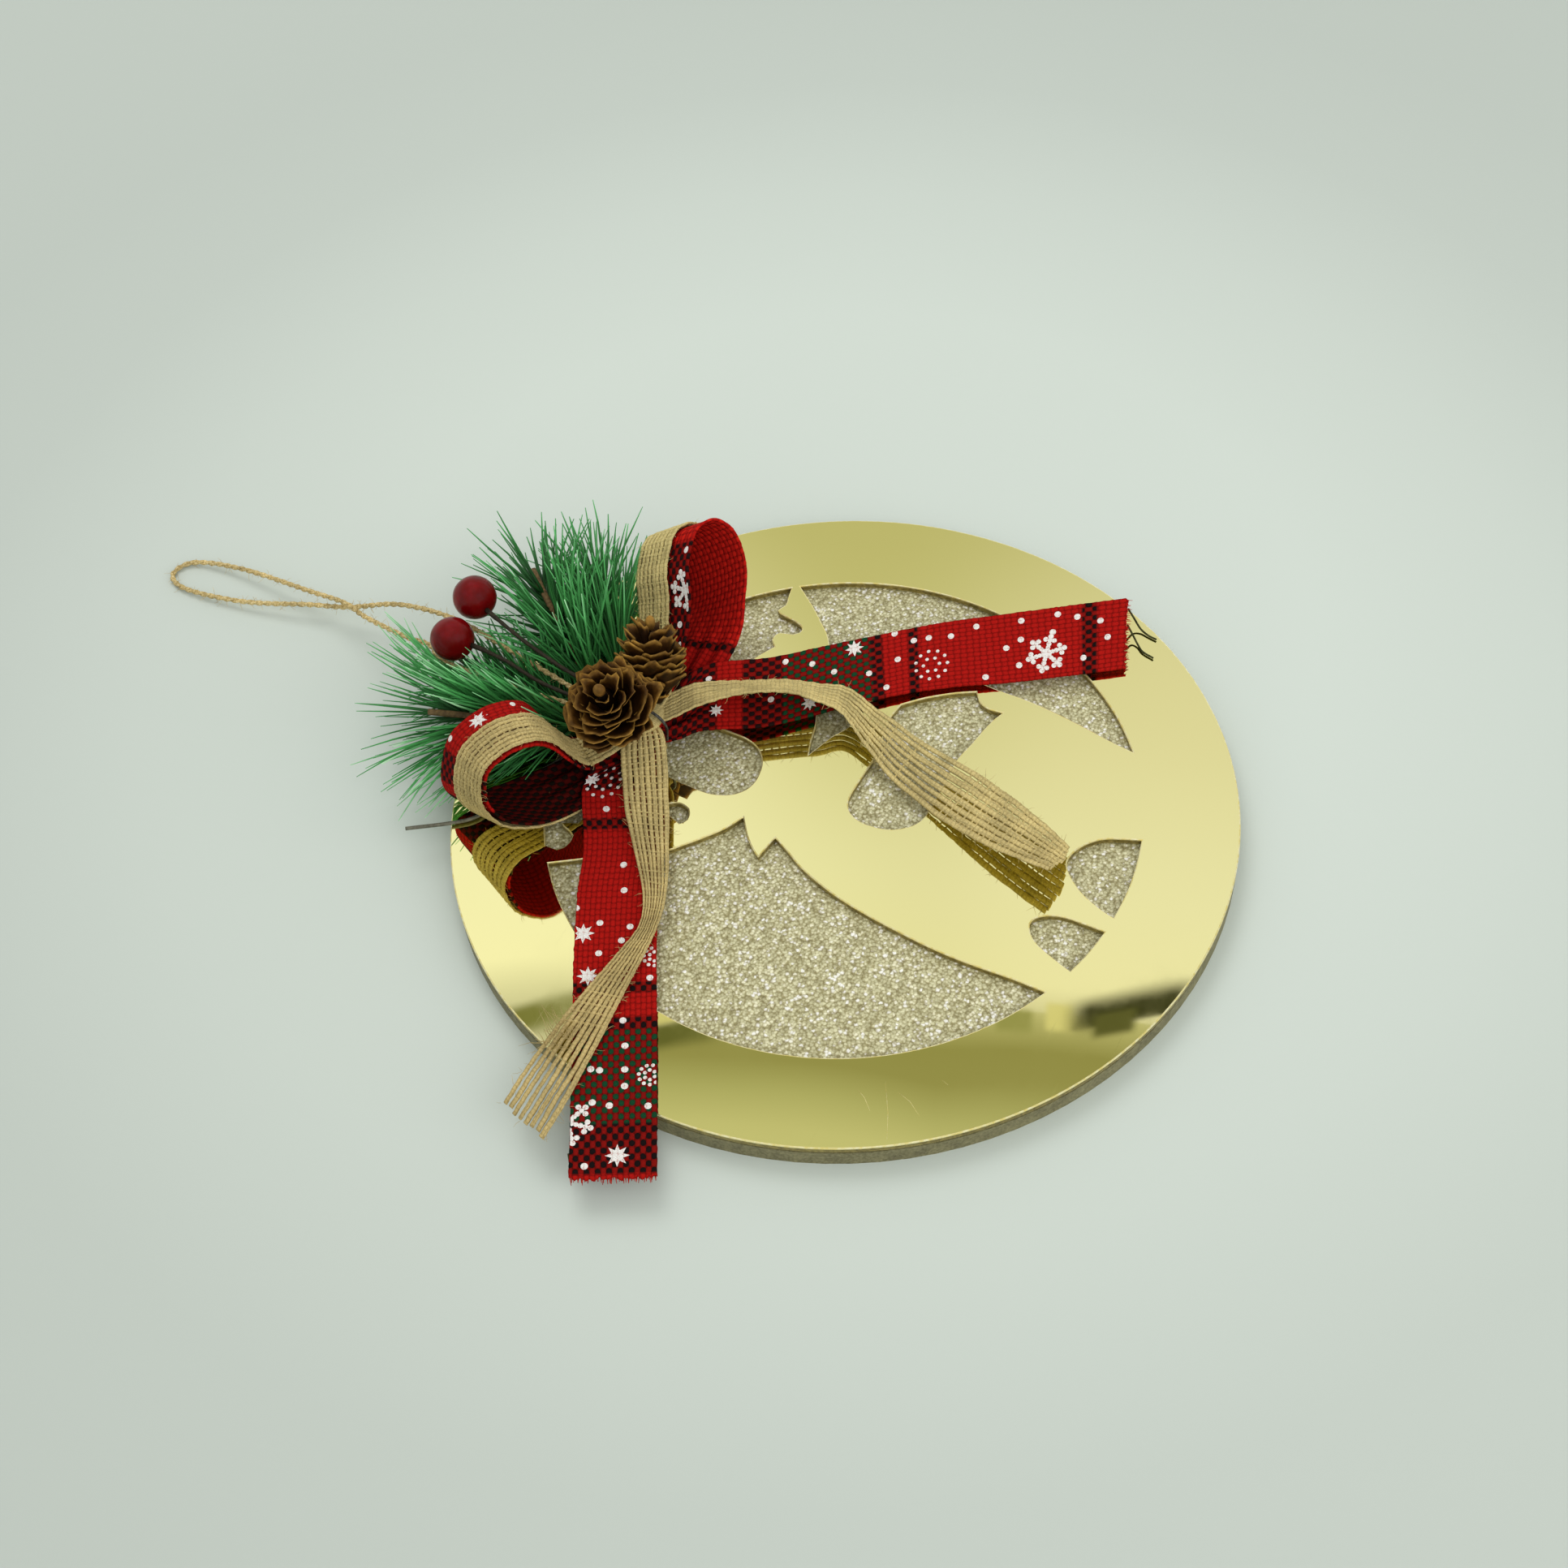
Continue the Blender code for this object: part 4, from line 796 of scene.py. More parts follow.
# The frayed ends: short red warp ends, and the longer dark threads that have worked loose.
random.seed(23)
FRINGE_ENDS = 54
warp_ends = []
for name in ("left_tail", "right_tail"):
    line = plaid_lines[name]
    end, across, width, ahead, _ = line_at(line, line[-1][3])
    for k in range(FRINGE_ENDS):
        root = end + across * ((k + 0.5) / FRINGE_ENDS - 0.5) * width - ahead * 0.001
        tip = root + ahead * random.uniform(0.0011, 0.0023) + across * random.uniform(-0.0004, 0.0004)
        tip.z = max(root.z - random.uniform(0, 0.0006), 0.0002)
        warp_ends.append([(root, 0.00013), (root.lerp(tip, 0.55) + Vector((0, 0, 0.0001)), 0.00012),
                          (tip, 0.00007)])
THREAD_RADIUS = 0.00027
LOOSE_THREADS = [[(84.5, -44.9, 13.6), (84.9, -46.6, 10.2), (83.9, -49.0, 8.0), (82.9, -51.6, 7.5),
                  (82.4, -54.0, 7.5)],
                 [(80.4, -46.3, 12.0), (80.2, -48.0, 9.2), (78.6, -50.2, 7.7), (76.9, -52.2, 7.5),
                  (75.9, -55.5, 7.5)],
                 [(-117.6, 13.9, 7.6), (-118.6, 13.3, 5.0), (-119.6, 12.6, 2.4), (-119.9, 12.2, 1.4)]]


def thread_finish(name, dark, bright):
    """Dyed cotton thread, streaked along its fibres."""
    made, tree, shader = shader_material(name)
    place = node(tree, "ShaderNodeTexCoord").outputs["Object"]
    streak = speckle(tree, place, 1600.0, 2.0)
    tree.links.new(ramp(tree, streak, [(0.3, dark), (0.7, bright)]), shader.inputs["Base Color"])
    plain_values(shader, Roughness=0.92, Specular_IOR_Level=0.05)
    relief(tree, shader, (streak, 0.4, 0.0001))
    return made


red_thread = thread_finish("red_thread", (0.24, 0.006, 0.004), (0.50, 0.028, 0.012))
dark_thread = thread_finish("dark_thread", (0.022, 0.024, 0.009), (0.085, 0.090, 0.035))
thread_routes = [[(spot, THREAD_RADIUS) for spot in smooth([Vector(row) * MM for row in route], 6)]
                 for route in LOOSE_THREADS]
fringe = [finished("plaid_warp_ends", tube_mesh(warp_ends, sides=0), red_thread),
          finished("plaid_loose_threads", tube_mesh(thread_routes, sides=1), dark_thread)]
for made in fringe:
    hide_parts("plaid_ribbon")
plaid_bow = finished("plaid_bow", plaid, plaid_finish, recalculate=False)
wall = plaid_bow.modifiers.new("cloth", "SOLIDIFY")
wall.thickness = PLAID_THICKNESS
wall.offset = 0
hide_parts("plaid_ribbon")

# Burlap ribbon. A 12.5 mm loosely woven jute ribbon laid over the plaid one, its long yarns standing
# up as ridges. It runs round the outside of both loops and ends in two frayed tails.
BURLAP_WIDTH = 0.0125
BURLAP_THICKNESS = 0.0009
LAYER_GAP = 0.0004
BURLAP_YARNS = 8
YARN_STEP = 0.0011
BURLAP_WEFT_STEP = 0.0019
BURLAP_WEFT_RADIUS = 0.00027
TUFT_HAIRS = 46
KNOT_WRAP = 0.004
BURLAP_LEFT_TAIL = [
    (-1, 0, 11.7, -60, 0, 0.55), (-5, -2.5, 11.5, -60, 0, 0.85), (-10.2, -5.4, 10.2, -58, 0, 0.95),
    (-23, -12.8, 5.4, -70, 0, 0.90), (-34.5, -20.2, 3.6, -72, 0, 0.66), (-44, -25.6, 2.7, -74, 0, 0.46),
    (-52.3, -28.0, 2.4, -76, 0, 0.37), (-61.4, -27.9, 2.3, -75, 0, 0.55), (-72, -27.3, 2.2, -77, 0, 0.76),
    (-88, -27.0, 2.2, -84, 0, 1.0), (-112, -26.7, 1.7, -108, 0, 1.18)]
BURLAP_RIGHT_TAIL = [
    (1, 0, 11.2, 30, -4, 0.50), (6, -4.5, 11.6, 30, -11, 0.85), (12.9, -9.1, 11.2, 29, -20, 1),
    (20, -18.3, 10.6, 27, -33, 1), (25.5, -28.0, 9.8, 29, -34, 1), (28.2, -35.7, 8.0, 22, -29, 1),
    (30.2, -42.8, 5.7, 17, -16, 1), (26, -53.0, 3.6, 4, 0, 1), (20, -65.0, 3.6, -12, 18, 1.08),
    (15.5, -78.2, 3.8, -18, 20, 1.22), (10.5, -94.7, 4.4, -10, 0, 1.3), (4.4, -114.8, 5.8, -2, -30, 1.22)]
LEFT_LOOP_EDGE = 0.0
RIGHT_LOOP_EDGE = 0.0070


def outer_layer(line, edge):
    """The line of the burlap laid on the outside of a plaid loop, that far in from its near edge."""
    middle = sum((row[0] for row in line), Vector()) / len(line)
    lift = (PLAID_THICKNESS + BURLAP_THICKNESS) / 2 + LAYER_GAP
    found = []
    run = 0.0
    for k, (spot, across, width, _) in enumerate(line):
        along = line[min(k + 1, len(line) - 1)][0] - line[max(k - 1, 0)][0]
        out = along.cross(across).normalized()
        if out.dot(spot - middle) < 0:
            out = -out
        narrow = min(BURLAP_WIDTH, width)
        inset = min(edge, max(0, width - narrow))
        moved = spot + out * lift + across * (-width / 2 + inset + narrow / 2)
        if found:
            run += (moved - found[-1][0]).length
        found.append([moved, across, narrow, run])
    return found


def jute_hair(root, way, size, out, floor):
    """The rows of one fine hair that stands off jute and bows outwards a little, above the table."""
    tip = root + way * size
    tip.z = max(tip.z, floor)
    return [(root, 0.00005), (root.lerp(tip, 0.5) + out * size * 0.15, 0.00004), (tip, 0.00002)]


def yarn(shape, line, share, fatness, end, seed, loosened=(2, 1, 3)):
    """One flat jute yarn along a ribbon's line at a share across it. From the first of loosened to the
    third, as shares of its length, it is slimmer by the second, so that its neighbours stand apart."""
    rows = round(end / YARN_STEP)
    uv = shape.loops.layers.uv.get("map") or shape.loops.layers.uv.new("map")
    made = bmesh.ops.create_grid(shape, x_segments=6, y_segments=rows, size=1)["verts"]
    spots = {}
    length = line[-1][3]
    for vertex in made:
        turn, t = (vertex.co.x + 1) * math.pi, (vertex.co.y + 1) / 2
        run = end * t if t < 1 - 0.5 / rows else end * (1 - 1 / rows) + 0.00008
        middle, across, width, ahead, out = line_at(line, min(run, length))
        wander = noise.noise(Vector((run * 120, share * 9, seed))) * 0.16
        crowd = 1 + 0.9 * max(0, 1 - width / BURLAP_WIDTH)
        centre = middle + across * ((share + wander / BURLAP_YARNS) * width) + ahead * max(0, run - length)
        centre += out * (0.00012 * math.sin(run * 2 * math.pi / 0.0034
                                            + math.pi * round(share * BURLAP_YARNS)) * crowd)
        apart = max(0, min(1, (t - loosened[0]) / 0.12)) * (1 - max(0, min(1, (t - loosened[2]) / 0.12)))
        half = width / BURLAP_YARNS * 0.5 * fatness * (1 + (loosened[1] - 1) * apart)
        half *= 1 + 0.12 * noise.noise(Vector((run * 300, share * 17, seed + 9)))
        swell = 0.00003 + 0.00034 * (1 + 0.35 * noise.noise(Vector((run * 400, share * 31, seed + 5))))
        taper = min(1, t / 0.004, (1 - t) / 0.004)
        vertex.co = centre + (across * (math.cos(turn) * half)
                              + out * (math.sin(turn) * swell * crowd)) * taper
        spots[vertex] = (turn * 0.3 + share * 40, run / MM)
    lay_map(made, uv, spots)


pinch_top = knot + Vector((0, KNOT_WRAP / 2, 0.0124))
pinch_under = knot + Vector((0, KNOT_WRAP / 2, 0.00105))
burlap_lines = []
for name, edge in (("left_loop", LEFT_LOOP_EDGE), ("right_loop", RIGHT_LOOP_EDGE)):
    line = outer_layer(plaid_lines[name], edge)
    for k, row in enumerate(line[:36]):
        row[0].z = max(row[0].z, pinch_top.z + 0.0008 - k / 6 * 0.0009)
    last = len(line) - 1
    for k in range(12):
        share = k / 12
        row = line[last - k]
        row[0].z = pinch_under.z + (row[0].z - pinch_under.z) * share
        row[0].y = pinch_under.y + (row[0].y - pinch_under.y) * share
    burlap_lines.append(line)
burlap_lines += [ribbon_line(BURLAP_LEFT_TAIL, BURLAP_WIDTH), ribbon_line(BURLAP_RIGHT_TAIL, BURLAP_WIDTH)]
burlap = bmesh.new()
LEFT_TAIL, RIGHT_TAIL = 2, 3
TIGHT = (2, 1, 3)
random.seed(5)
for number, line in enumerate(burlap_lines):
    for k in range(BURLAP_YARNS):
        share = (k + 0.5) / BURLAP_YARNS - 0.5
        end = line[-1][3]
        if number == LEFT_TAIL:
            end += random.uniform(-0.0006, 0.0006)
        if number == RIGHT_TAIL:
            end += random.uniform(-0.0004, 0.0004) - 0.011 * abs(share) ** 2.5
        left_loosened = (0.74, random.uniform(0.72, 0.84) if share < 0.2 else 0.90, 3)
        right_loosened = (0.50, random.uniform(0.78, 0.90), 0.68)
        loosened = (TIGHT, TIGHT, left_loosened, right_loosened)[number]
        yarn(burlap, line, share, random.uniform(0.86, 0.98), end, number * 3.7, loosened)
weft_rows = []
hairs = []
for number, line in enumerate(burlap_lines):
    length = line[-1][3]
    for k in range(int(length / BURLAP_WEFT_STEP)):
        run = (k + random.uniform(0.3, 0.7)) * BURLAP_WEFT_STEP
        if number == LEFT_TAIL and run > length * 0.72 and random.random() < 0.8:
            continue
        if number == RIGHT_TAIL and length * 0.35 < run < length * 0.72 and random.random() < 0.85:
            continue
        middle, across, width, ahead, out = line_at(line, run)
        lean = random.uniform(-0.0006, 0.0006)
        reach = 0.49 if number < LEFT_TAIL or run < length * 0.9 else 0.42
        weft_rows.append([(middle + across * (width * reach * (j / 4 - 1)) + ahead * (lean * (j / 4 - 1))
                           + out * 0.00006 * math.sin(j * 2.4 + k), BURLAP_WEFT_RADIUS) for j in range(9)])
    for k in range(round(length / 0.0008) if number >= LEFT_TAIL else round(length / 0.0016)):
        run = random.uniform(0.12, 1.0) * length
        middle, across, width, ahead, out = line_at(line, run)
        out *= random.choice((-1, 1))
        edge = random.choice((-0.5, 0.5)) if random.random() < 0.55 else random.uniform(-0.5, 0.5)
        root = middle + across * (edge * width)
        way = (ahead * random.uniform(-1, 1) + across * (edge * 1.6)
               + out * random.uniform(0, 0.6)).normalized()
        hairs.append(jute_hair(root, way, random.uniform(0.0008, 0.0024), out, 0.0002))
# A tuft of pulled weft stands out of the left tail where its yarns begin to part.
tuft_at, tuft_across, tuft_width, tuft_ahead, _ = line_at(burlap_lines[2], burlap_lines[2][-1][3] * 0.80)
for k in range(TUFT_HAIRS):
    root = (tuft_at + tuft_across * random.uniform(-0.5, 0.1) * tuft_width
            + tuft_ahead * random.uniform(-0.004, 0.003))
    root.z += 0.0006
    tip = root + tuft_across * random.uniform(-0.006, 0.002) + tuft_ahead * random.uniform(-0.005, 0.004)
    tip.z = max(0.0004, root.z + random.uniform(-0.0004, 0.0024))
    halfway = root.lerp(tip, 0.5) + Vector((0, 0, random.uniform(0, 0.0012)))
    hairs.append([(root, 0.00007), (halfway, 0.00006), (tip, 0.00003)])
bmesh.ops.remove_doubles(burlap, verts=burlap.verts, dist=1e-6)
burlap_finish, tree, shader = shader_material("jute_burlap")
where = node(tree, "ShaderNodeUVMap", uv_map="map").outputs[0]
place = node(tree, "ShaderNodeTexCoord").outputs["Object"]
cloth = node(tree, "ShaderNodeGroup", {"Warp Pitch": 0.9, "Weft Pitch": 1.15}, {"Map": where},
             node_tree=weave)
strand_map = node(tree, "ShaderNodeMapping", {"Scale": (5.0, 0.7, 1.0)}, {"Vector": where})
strands = speckle(tree, strand_map.outputs[0], 2.2, 5.0, 0.65)
blotch = speckle(tree, place, 160.0, 3.0)
colour = ramp(tree, strands, [(0.25, (0.37, 0.275, 0.10)), (0.5, (0.56, 0.455, 0.195)),
                              (0.75, (0.77, 0.67, 0.345))])
colour = mix_colour(tree, 0.6, colour, ramp(tree, blotch, [(0.3, 0.62), (0.7, 1.2)]), "MULTIPLY")
# The weave's height darkens the jute in its valleys: painted shade.
colour = mix_colour(tree, 0.5, colour, ramp(tree, cloth.outputs["Height"], [(0.0, 0.45), (0.6, 1.1)]),
                    "MULTIPLY")
# The bow is painted lighter towards its right side and darker towards its left, as painted light and shade.
x_place = node(tree, "ShaderNodeSeparateXYZ", links={"Vector": place}).outputs["X"]
from_left = maths(tree, "MULTIPLY_ADD", x_place, 5.0, 0.5)
painted_side_light = ramp(tree, from_left, [(0.05, (0.84, 0.79, 0.77)), (0.5, (0.96, 0.94, 0.93)),
                                  (0.9, (1.12, 1.16, 1.15))])
colour = mix_colour(tree, 1.0, colour, painted_side_light, "MULTIPLY")
tree.links.new(colour, shader.inputs["Base Color"])
plain_values(shader, Roughness=0.9, Specular_IOR_Level=0.08)
relief(tree, shader, (cloth.outputs["Height"], 0.8, 0.0002), (strands, 0.7, 0.0001))
burlap_bow = finished("burlap_bow", burlap, burlap_finish)
burlap_weft = finished("burlap_weft", tube_mesh(weft_rows, sides=0), burlap_finish)
burlap_fuzz = finished("burlap_fuzz", tube_mesh(hairs, sides=0), burlap_finish)
for made in (burlap_bow, burlap_weft, burlap_fuzz):
    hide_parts("burlap_ribbon")

# Pinched middle. Both ribbons are gathered to a small bundle over the panel, the burlap wrapped
# over, behind and under the plaid, and held by the binding wire.
GATHERS = 7


def gathered_lump(name, spot, size, finish, seed):
    """A bundle of folds: a ball pressed to the size given, its skin pleated lengthways."""
    shape = bmesh.new()
    bmesh.ops.create_uvsphere(shape, u_segments=56, v_segments=28, radius=0.5)
    bmesh.ops.rotate(shape, verts=shape.verts, cent=(0, 0, 0),
                     matrix=Matrix.Rotation(math.radians(90), 3, "X"))
    uv = shape.loops.layers.uv.get("map") or shape.loops.layers.uv.new("map")
    for face in shape.faces:
        for loop in face.loops:
            loop[uv].uv = (loop.vert.co.x * 22, loop.vert.co.y * 16 + seed)
    for vertex in shape.verts:
        around = math.atan2(vertex.co.z, vertex.co.x)
        flat = math.hypot(vertex.co.x, vertex.co.z) * 2
        pleat = 1 - 0.10 * flat * (0.5 + 0.5 * math.cos(around * GATHERS * 2 + seed + 1.5 * vertex.co.y))
        vertex.co = Vector((vertex.co.x * size[0] * pleat, vertex.co.y * size[1],
                            vertex.co.z * size[2] * pleat)) + spot
    return finished(name, shape, finish)


plaid_pinch = gathered_lump("plaid_pinch", knot + Vector((0, 0, 0.006)), (0.013, 0.011, 0.006),
                            plaid_finish, 0.4)
burlap_pinch = gathered_lump("burlap_pinch", pinch_top, (0.01365, 0.015, 0.0048), burlap_finish,
                             1.2)
burlap_under = gathered_lump("burlap_pinch_under", pinch_under, (0.0104, 0.015, 0.0021), burlap_finish,
                             2.2)
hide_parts("plaid_ribbon")
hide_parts("burlap_ribbon")
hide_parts("burlap_ribbon")

# Wires. A thin annealed wire binds the pinch, a bare wire end of the pick sticks out under the left
# loop, and each berry stands on a wire wound with dark brown paper tape.
BINDING_WIRE = 0.0008
PICK_WIRE = 0.0010
BERRY_WIRE = 0.0011
BERRY_DIAMETER = 0.0117
BINDING_ARCH = [(-0.4, -6.7, 6.4), (-0.4, -6.9, 12.2), (-0.3, -3.6, 15.5), (-0.2, 2.0, 16.2),
                (-0.2, 8.4, 15.2), (-0.2, 11.2, 10.0), (-0.2, 11.0, 0.6)]
PICK_WIRE_ROUTE = [(-5, 14, 0.6), (-18, 21, 0.6), (-31, 26.5, 0.6), (-38, 29.0, 0.6), (-42.5, 33.9, 0.6),
                   (-48.9, 44.0, 0.6)]
BERRY_PLACES = [(14.7, 58.0, 18.0), (1.7, 57.7, 15.0)]
BERRY_WIRES = [[(11.9, 52.1, 17.6), (7.5, 39.0, 16.5), (4.5, 26.0, 14.8), (3.5, 16.0, 13.0)],
               [(2.2, 50.4, 14.4), (1.6, 41.0, 13.4), (-0.6, 30.0, 12.6), (-1.2, 16.5, 12.0)]]


def wire_finish(name, dark, bright, metallic, roughness, scale):
    """A drawn or tape-wound wire: streaky colour and a fine ripple."""
    made, tree, shader = shader_material(name)
    place = node(tree, "ShaderNodeTexCoord").outputs["Object"]
    streak = speckle(tree, place, scale, 3.0)
    tree.links.new(ramp(tree, streak, [(0.3, dark), (0.7, bright)]), shader.inputs["Base Color"])
    plain_values(shader, Metallic=metallic)
    tree.links.new(maths(tree, "MULTIPLY_ADD", streak, 0.2, roughness), shader.inputs["Roughness"])
    relief(tree, shader, (streak, 0.4, 0.0001))
    return made


steel_finish = wire_finish("annealed_wire", (0.03, 0.03, 0.03), (0.16, 0.155, 0.15), 0.85, 0.28, 900.0)
dull_finish = wire_finish("galvanised_wire", (0.09, 0.088, 0.06), (0.22, 0.215, 0.16), 0.4, 0.45, 900.0)
tape_finish = wire_finish("stem_tape", (0.011, 0.008, 0.004), (0.040, 0.029, 0.014), 0.0, 0.65, 1400.0)
for name, route, diameter, finish in (("binding_wire", BINDING_ARCH, BINDING_WIRE, steel_finish),
                                      ("pick_wire", PICK_WIRE_ROUTE, PICK_WIRE, dull_finish)):
    rows = [(from_knot(row), diameter / 2) for row in smooth(route, 10)]
    made = finished(name + "_round", tube_mesh([rows]), finish)
    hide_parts(name)

# Berries. Two hollow foam balls dipped in dark red lacquer, with a satin skin, a faint net of
# wrinkles and a small dark pit at the end away from the wire.
berry_finish, tree, shader = shader_material("berry_lacquer")
place = node(tree, "ShaderNodeTexCoord").outputs["Object"]
mottle = speckle(tree, place, 260.0, 4.0)
pores = speckle(tree, place, 2200.0, 2.0)
tree.links.new(ramp(tree, mottle, [(0.3, (0.105, 0.0012, 0.0018)), (0.7, (0.190, 0.0018, 0.0034))]),
               shader.inputs["Base Color"])
tree.links.new(maths(tree, "MULTIPLY_ADD", pores, 0.14, 0.16), shader.inputs["Roughness"])
plain_values(shader, Specular_IOR_Level=0.20)
relief(tree, shader, (mottle, 0.25, 0.00015), (pores, 0.12, 0.00005))
for side, spot, route in zip(("right", "left"), BERRY_PLACES, BERRY_WIRES):
    middle = from_knot(spot)
    rows = [from_knot(row) for row in smooth(route, 10)]
    away = (rows[0] - middle).normalized()
    rows[0] = middle + away * (BERRY_DIAMETER / 2 - 0.0006)
    widths = [BERRY_WIRE / 2 * (1.25 if k < 3 else 1.0 + 0.10 * math.sin(k * 1.9)) for k in range(len(rows))]
    made = finished(f"berry_stem_{side}", tube_mesh([list(zip(rows, widths))]), tape_finish)
    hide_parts(f"berry_wire_{side}")
    ball = bmesh.new()
    bmesh.ops.create_uvsphere(ball, u_segments=56, v_segments=40, radius=BERRY_DIAMETER / 2)
    for vertex in ball.verts:
        up = vertex.co.z / (BERRY_DIAMETER / 2)
        dent = 0.00055 * math.exp(-((1 - up) / 0.012)) + 0.0004 * math.exp(-((1 + up) / 0.03))
        lumpy = 0.00006 * noise.noise(vertex.co * 500 + Vector((spot[0], 0, 0)))
        vertex.co *= 1 - (dent - lumpy) / (BERRY_DIAMETER / 2)
    turn = (-away).to_track_quat("Z", "Y").to_matrix().to_4x4()
    bmesh.ops.transform(ball, matrix=Matrix.Translation(middle) @ turn, verts=ball.verts)
    made = finished(f"berry_ball_{side}", ball, berry_finish)
    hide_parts(f"berry_{side}")

# Cones. Two small dried cones wired over the pinch, the front one looking at the viewer. Their woody scales
# curl outwards, each with a paler lip, partly its own worn wood and partly painted rim light; towards their
# bases the scales are painted dark, as shade between them.
SCALE_THICKNESS = 0.00048
GOLDEN_ANGLE = math.radians(137.5)
# Each cone's place from the knot, the way it points, its diameter, length and number of scales, how far
# down the lowest scale sits as a share of the length, and how blunt its outline is.
CONES = {"cone_front": ((-9.8, 3.0, 27.4), (-0.37, -0.05, 0.93), 0.0250, 0.0200, 40, 0.52, 1.7),
         "cone_back": ((12.2, 2.8, 23.0), (0.55, 0.24, 0.80), 0.0215, 0.0200, 38, 0.68, 3.4)}
cone_finish, tree, shader = shader_material("cone_wood")
place = node(tree, "ShaderNodeTexCoord").outputs["Object"]
where = node(tree, "ShaderNodeUVMap", uv_map="map").outputs[0]
lip_at = node(tree, "ShaderNodeSeparateXYZ", links={0: where})
grain = speckle(tree, place, 620.0, 4.0)
# Colour along each scale: painted dark towards the base as shade between the scales, and pale at the lip,
# partly worn wood and partly painted rim light.
colour = ramp(tree, lip_at.outputs[1], [(0.0, (0.009, 0.0036, 0.0007)), (0.45, (0.018, 0.0075, 0.0014)),
                                        (0.80, (0.031, 0.0130, 0.0026)), (0.91, (0.055, 0.025, 0.0045)),
                                        (0.96, (0.15, 0.080, 0.016)), (1.0, (0.27, 0.160, 0.038))])
worn = speckle(tree, place, 170.0, 2.0)
colour = mix_colour(tree, 0.8, colour, ramp(tree, grain, [(0.28, 0.4), (0.72, 1.6)]), "MULTIPLY")
colour = mix_colour(tree, 0.9, colour, ramp(tree, worn,
                                            [(0.35, (0.40, 0.30, 0.24)), (0.65, (1.3, 1.2, 0.95))]),
                    "MULTIPLY")
tree.links.new(colour, shader.inputs["Base Color"])
plain_values(shader, Roughness=0.55, Specular_IOR_Level=0.15)
relief(tree, shader, (grain, 0.6, 0.00025))
for name, (spot, axis, diameter, length, scales, lowest, blunt) in CONES.items():
    turn = Vector(axis).to_track_quat("Z", "Y").to_matrix().to_4x4()
    seat = Matrix.Translation(from_knot(spot)) @ turn
    cone = bmesh.new()
    uv = cone.loops.layers.uv.new("map")
    bmesh.ops.create_uvsphere(cone, u_segments=12, v_segments=10, radius=0.5)
    bmesh.ops.scale(cone, verts=cone.verts, vec=(diameter * 0.24, diameter * 0.24, length * 0.78))
    bmesh.ops.translate(cone, verts=cone.verts, vec=(0, 0, -length * 0.10))
    random.seed(31 if name == "cone_front" else 47)
    for k in range(scales):
        share = (k + 0.5) / scales
        angle = k * GOLDEN_ANGLE + random.uniform(-0.28, 0.28)
        rounding = max(0.02, 1 - max(0, 1.06 * share - 0.08) ** blunt)
        reach = diameter / 2 * math.sqrt(rounding) * random.uniform(0.82, 1.0)
        if name == "cone_back":
            reach *= min(1, 0.42 + 1.7 * share)
        foot = length * (-lowest + (lowest + 0.04) * share)
        rise = diameter * (0.15 + 0.20 * share) * random.uniform(0.8, 1.15)
        spread = (0.46 + 0.55 * share) * random.uniform(0.85, 1.15)
        made = bmesh.ops.create_grid(cone, x_segments=10, y_segments=8, size=1)["verts"]
        spots = {}
        for vertex in made:
            s, t = vertex.co.x, (vertex.co.y + 1) / 2
            notch = 0.22 * abs(s) ** 2.6 + 0.13 * noise.noise(Vector((k * 5.3, s * 2.6, 2.0)))
            reached = t * (1 - notch)
            lip = max(0, reached - 0.76) / 0.24
            out_by = diameter * 0.04 + (reach - diameter * 0.04) * (reached ** 0.85) * (1 - 0.10 * lip)
            turn_by = angle + s * spread * (0.35 + 0.65 * math.sin(min(1, reached * 1.05) * math.pi / 2))
            ruffle = (noise.noise(Vector((k * 3.1, s * 2.4, 0.5)))
                      + 0.5 * noise.noise(Vector((k * 7.1, s * 5.2, 3.5))))
            ruffle = ruffle * lip * diameter * 0.085
            cup = abs(s) ** 2 * diameter * 0.045 * reached
            up = foot + rise * reached ** 1.9 + cup + ruffle
            out_by += lip ** 2 * diameter * 0.05 - cup * 0.8 + ruffle * 0.7
            vertex.co = (math.cos(turn_by) * out_by, math.sin(turn_by) * out_by, up)
            spots[vertex] = (s, t)
        bmesh.ops.solidify(cone, geom=lay_map(made, uv, spots), thickness=SCALE_THICKNESS)
    bud = bmesh.ops.create_uvsphere(cone, u_segments=14, v_segments=10, radius=diameter * 0.062)["verts"]
    bmesh.ops.scale(cone, verts=bud, vec=(1, 1, 1.5))
    bmesh.ops.translate(cone, verts=bud, vec=(0, 0, length * 0.20 + diameter * 0.17))
    lay_map(bud, uv, {vertex: (0, 0.985) for vertex in bud})
    bmesh.ops.transform(cone, matrix=seat, verts=cone.verts)
    made = finished(name + "_scales", cone, cone_finish)
    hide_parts(name)

# Pine sprigs. Four moulded plastic sprigs fan out behind the bow: a brown stem each, with glossy thin needles
# fused round it that soften towards their tips. Their colour is painted dark near the stem, as shade in the
# dense core, and pale towards the tips, as painted light.
STEM_RADIUS = 0.0010
NEEDLE_LENGTH = 0.0340
# Each sprig's stem from the knot in millimetres, the lean of its last needles in degrees, their length as
# a share of the first ones', and the number of needles.
SPRIGS = {
    "pine_sprig_left": ([(-4.5, 14, 6.0), (-11, 32, 7.5), (-17.9, 54.6, 8.0)], 58, 1.26, 460),
    "pine_sprig_middle": ([(-1, 14, 3.4), (-1, 32, 4.2), (-2, 52, 5.0)], 34, 0.70, 260),
    "pine_sprig_right": ([(3.5, 14, 6.0), (17, 32, 9.0), (33.5, 51.7, 13.0)], 34, 0.94, 230),
    "pine_sprig_far": ([(8.5, 11, 3.4), (23, 21.5, 6.0), (40, 36.5, 9.0)], 34, 0.86, 200),
}
NEEDLE_RADIUS = (0.00036, 0.00050)
NEEDLE_TAPER = 0.72
NEEDLE_ROOM = 0.0007
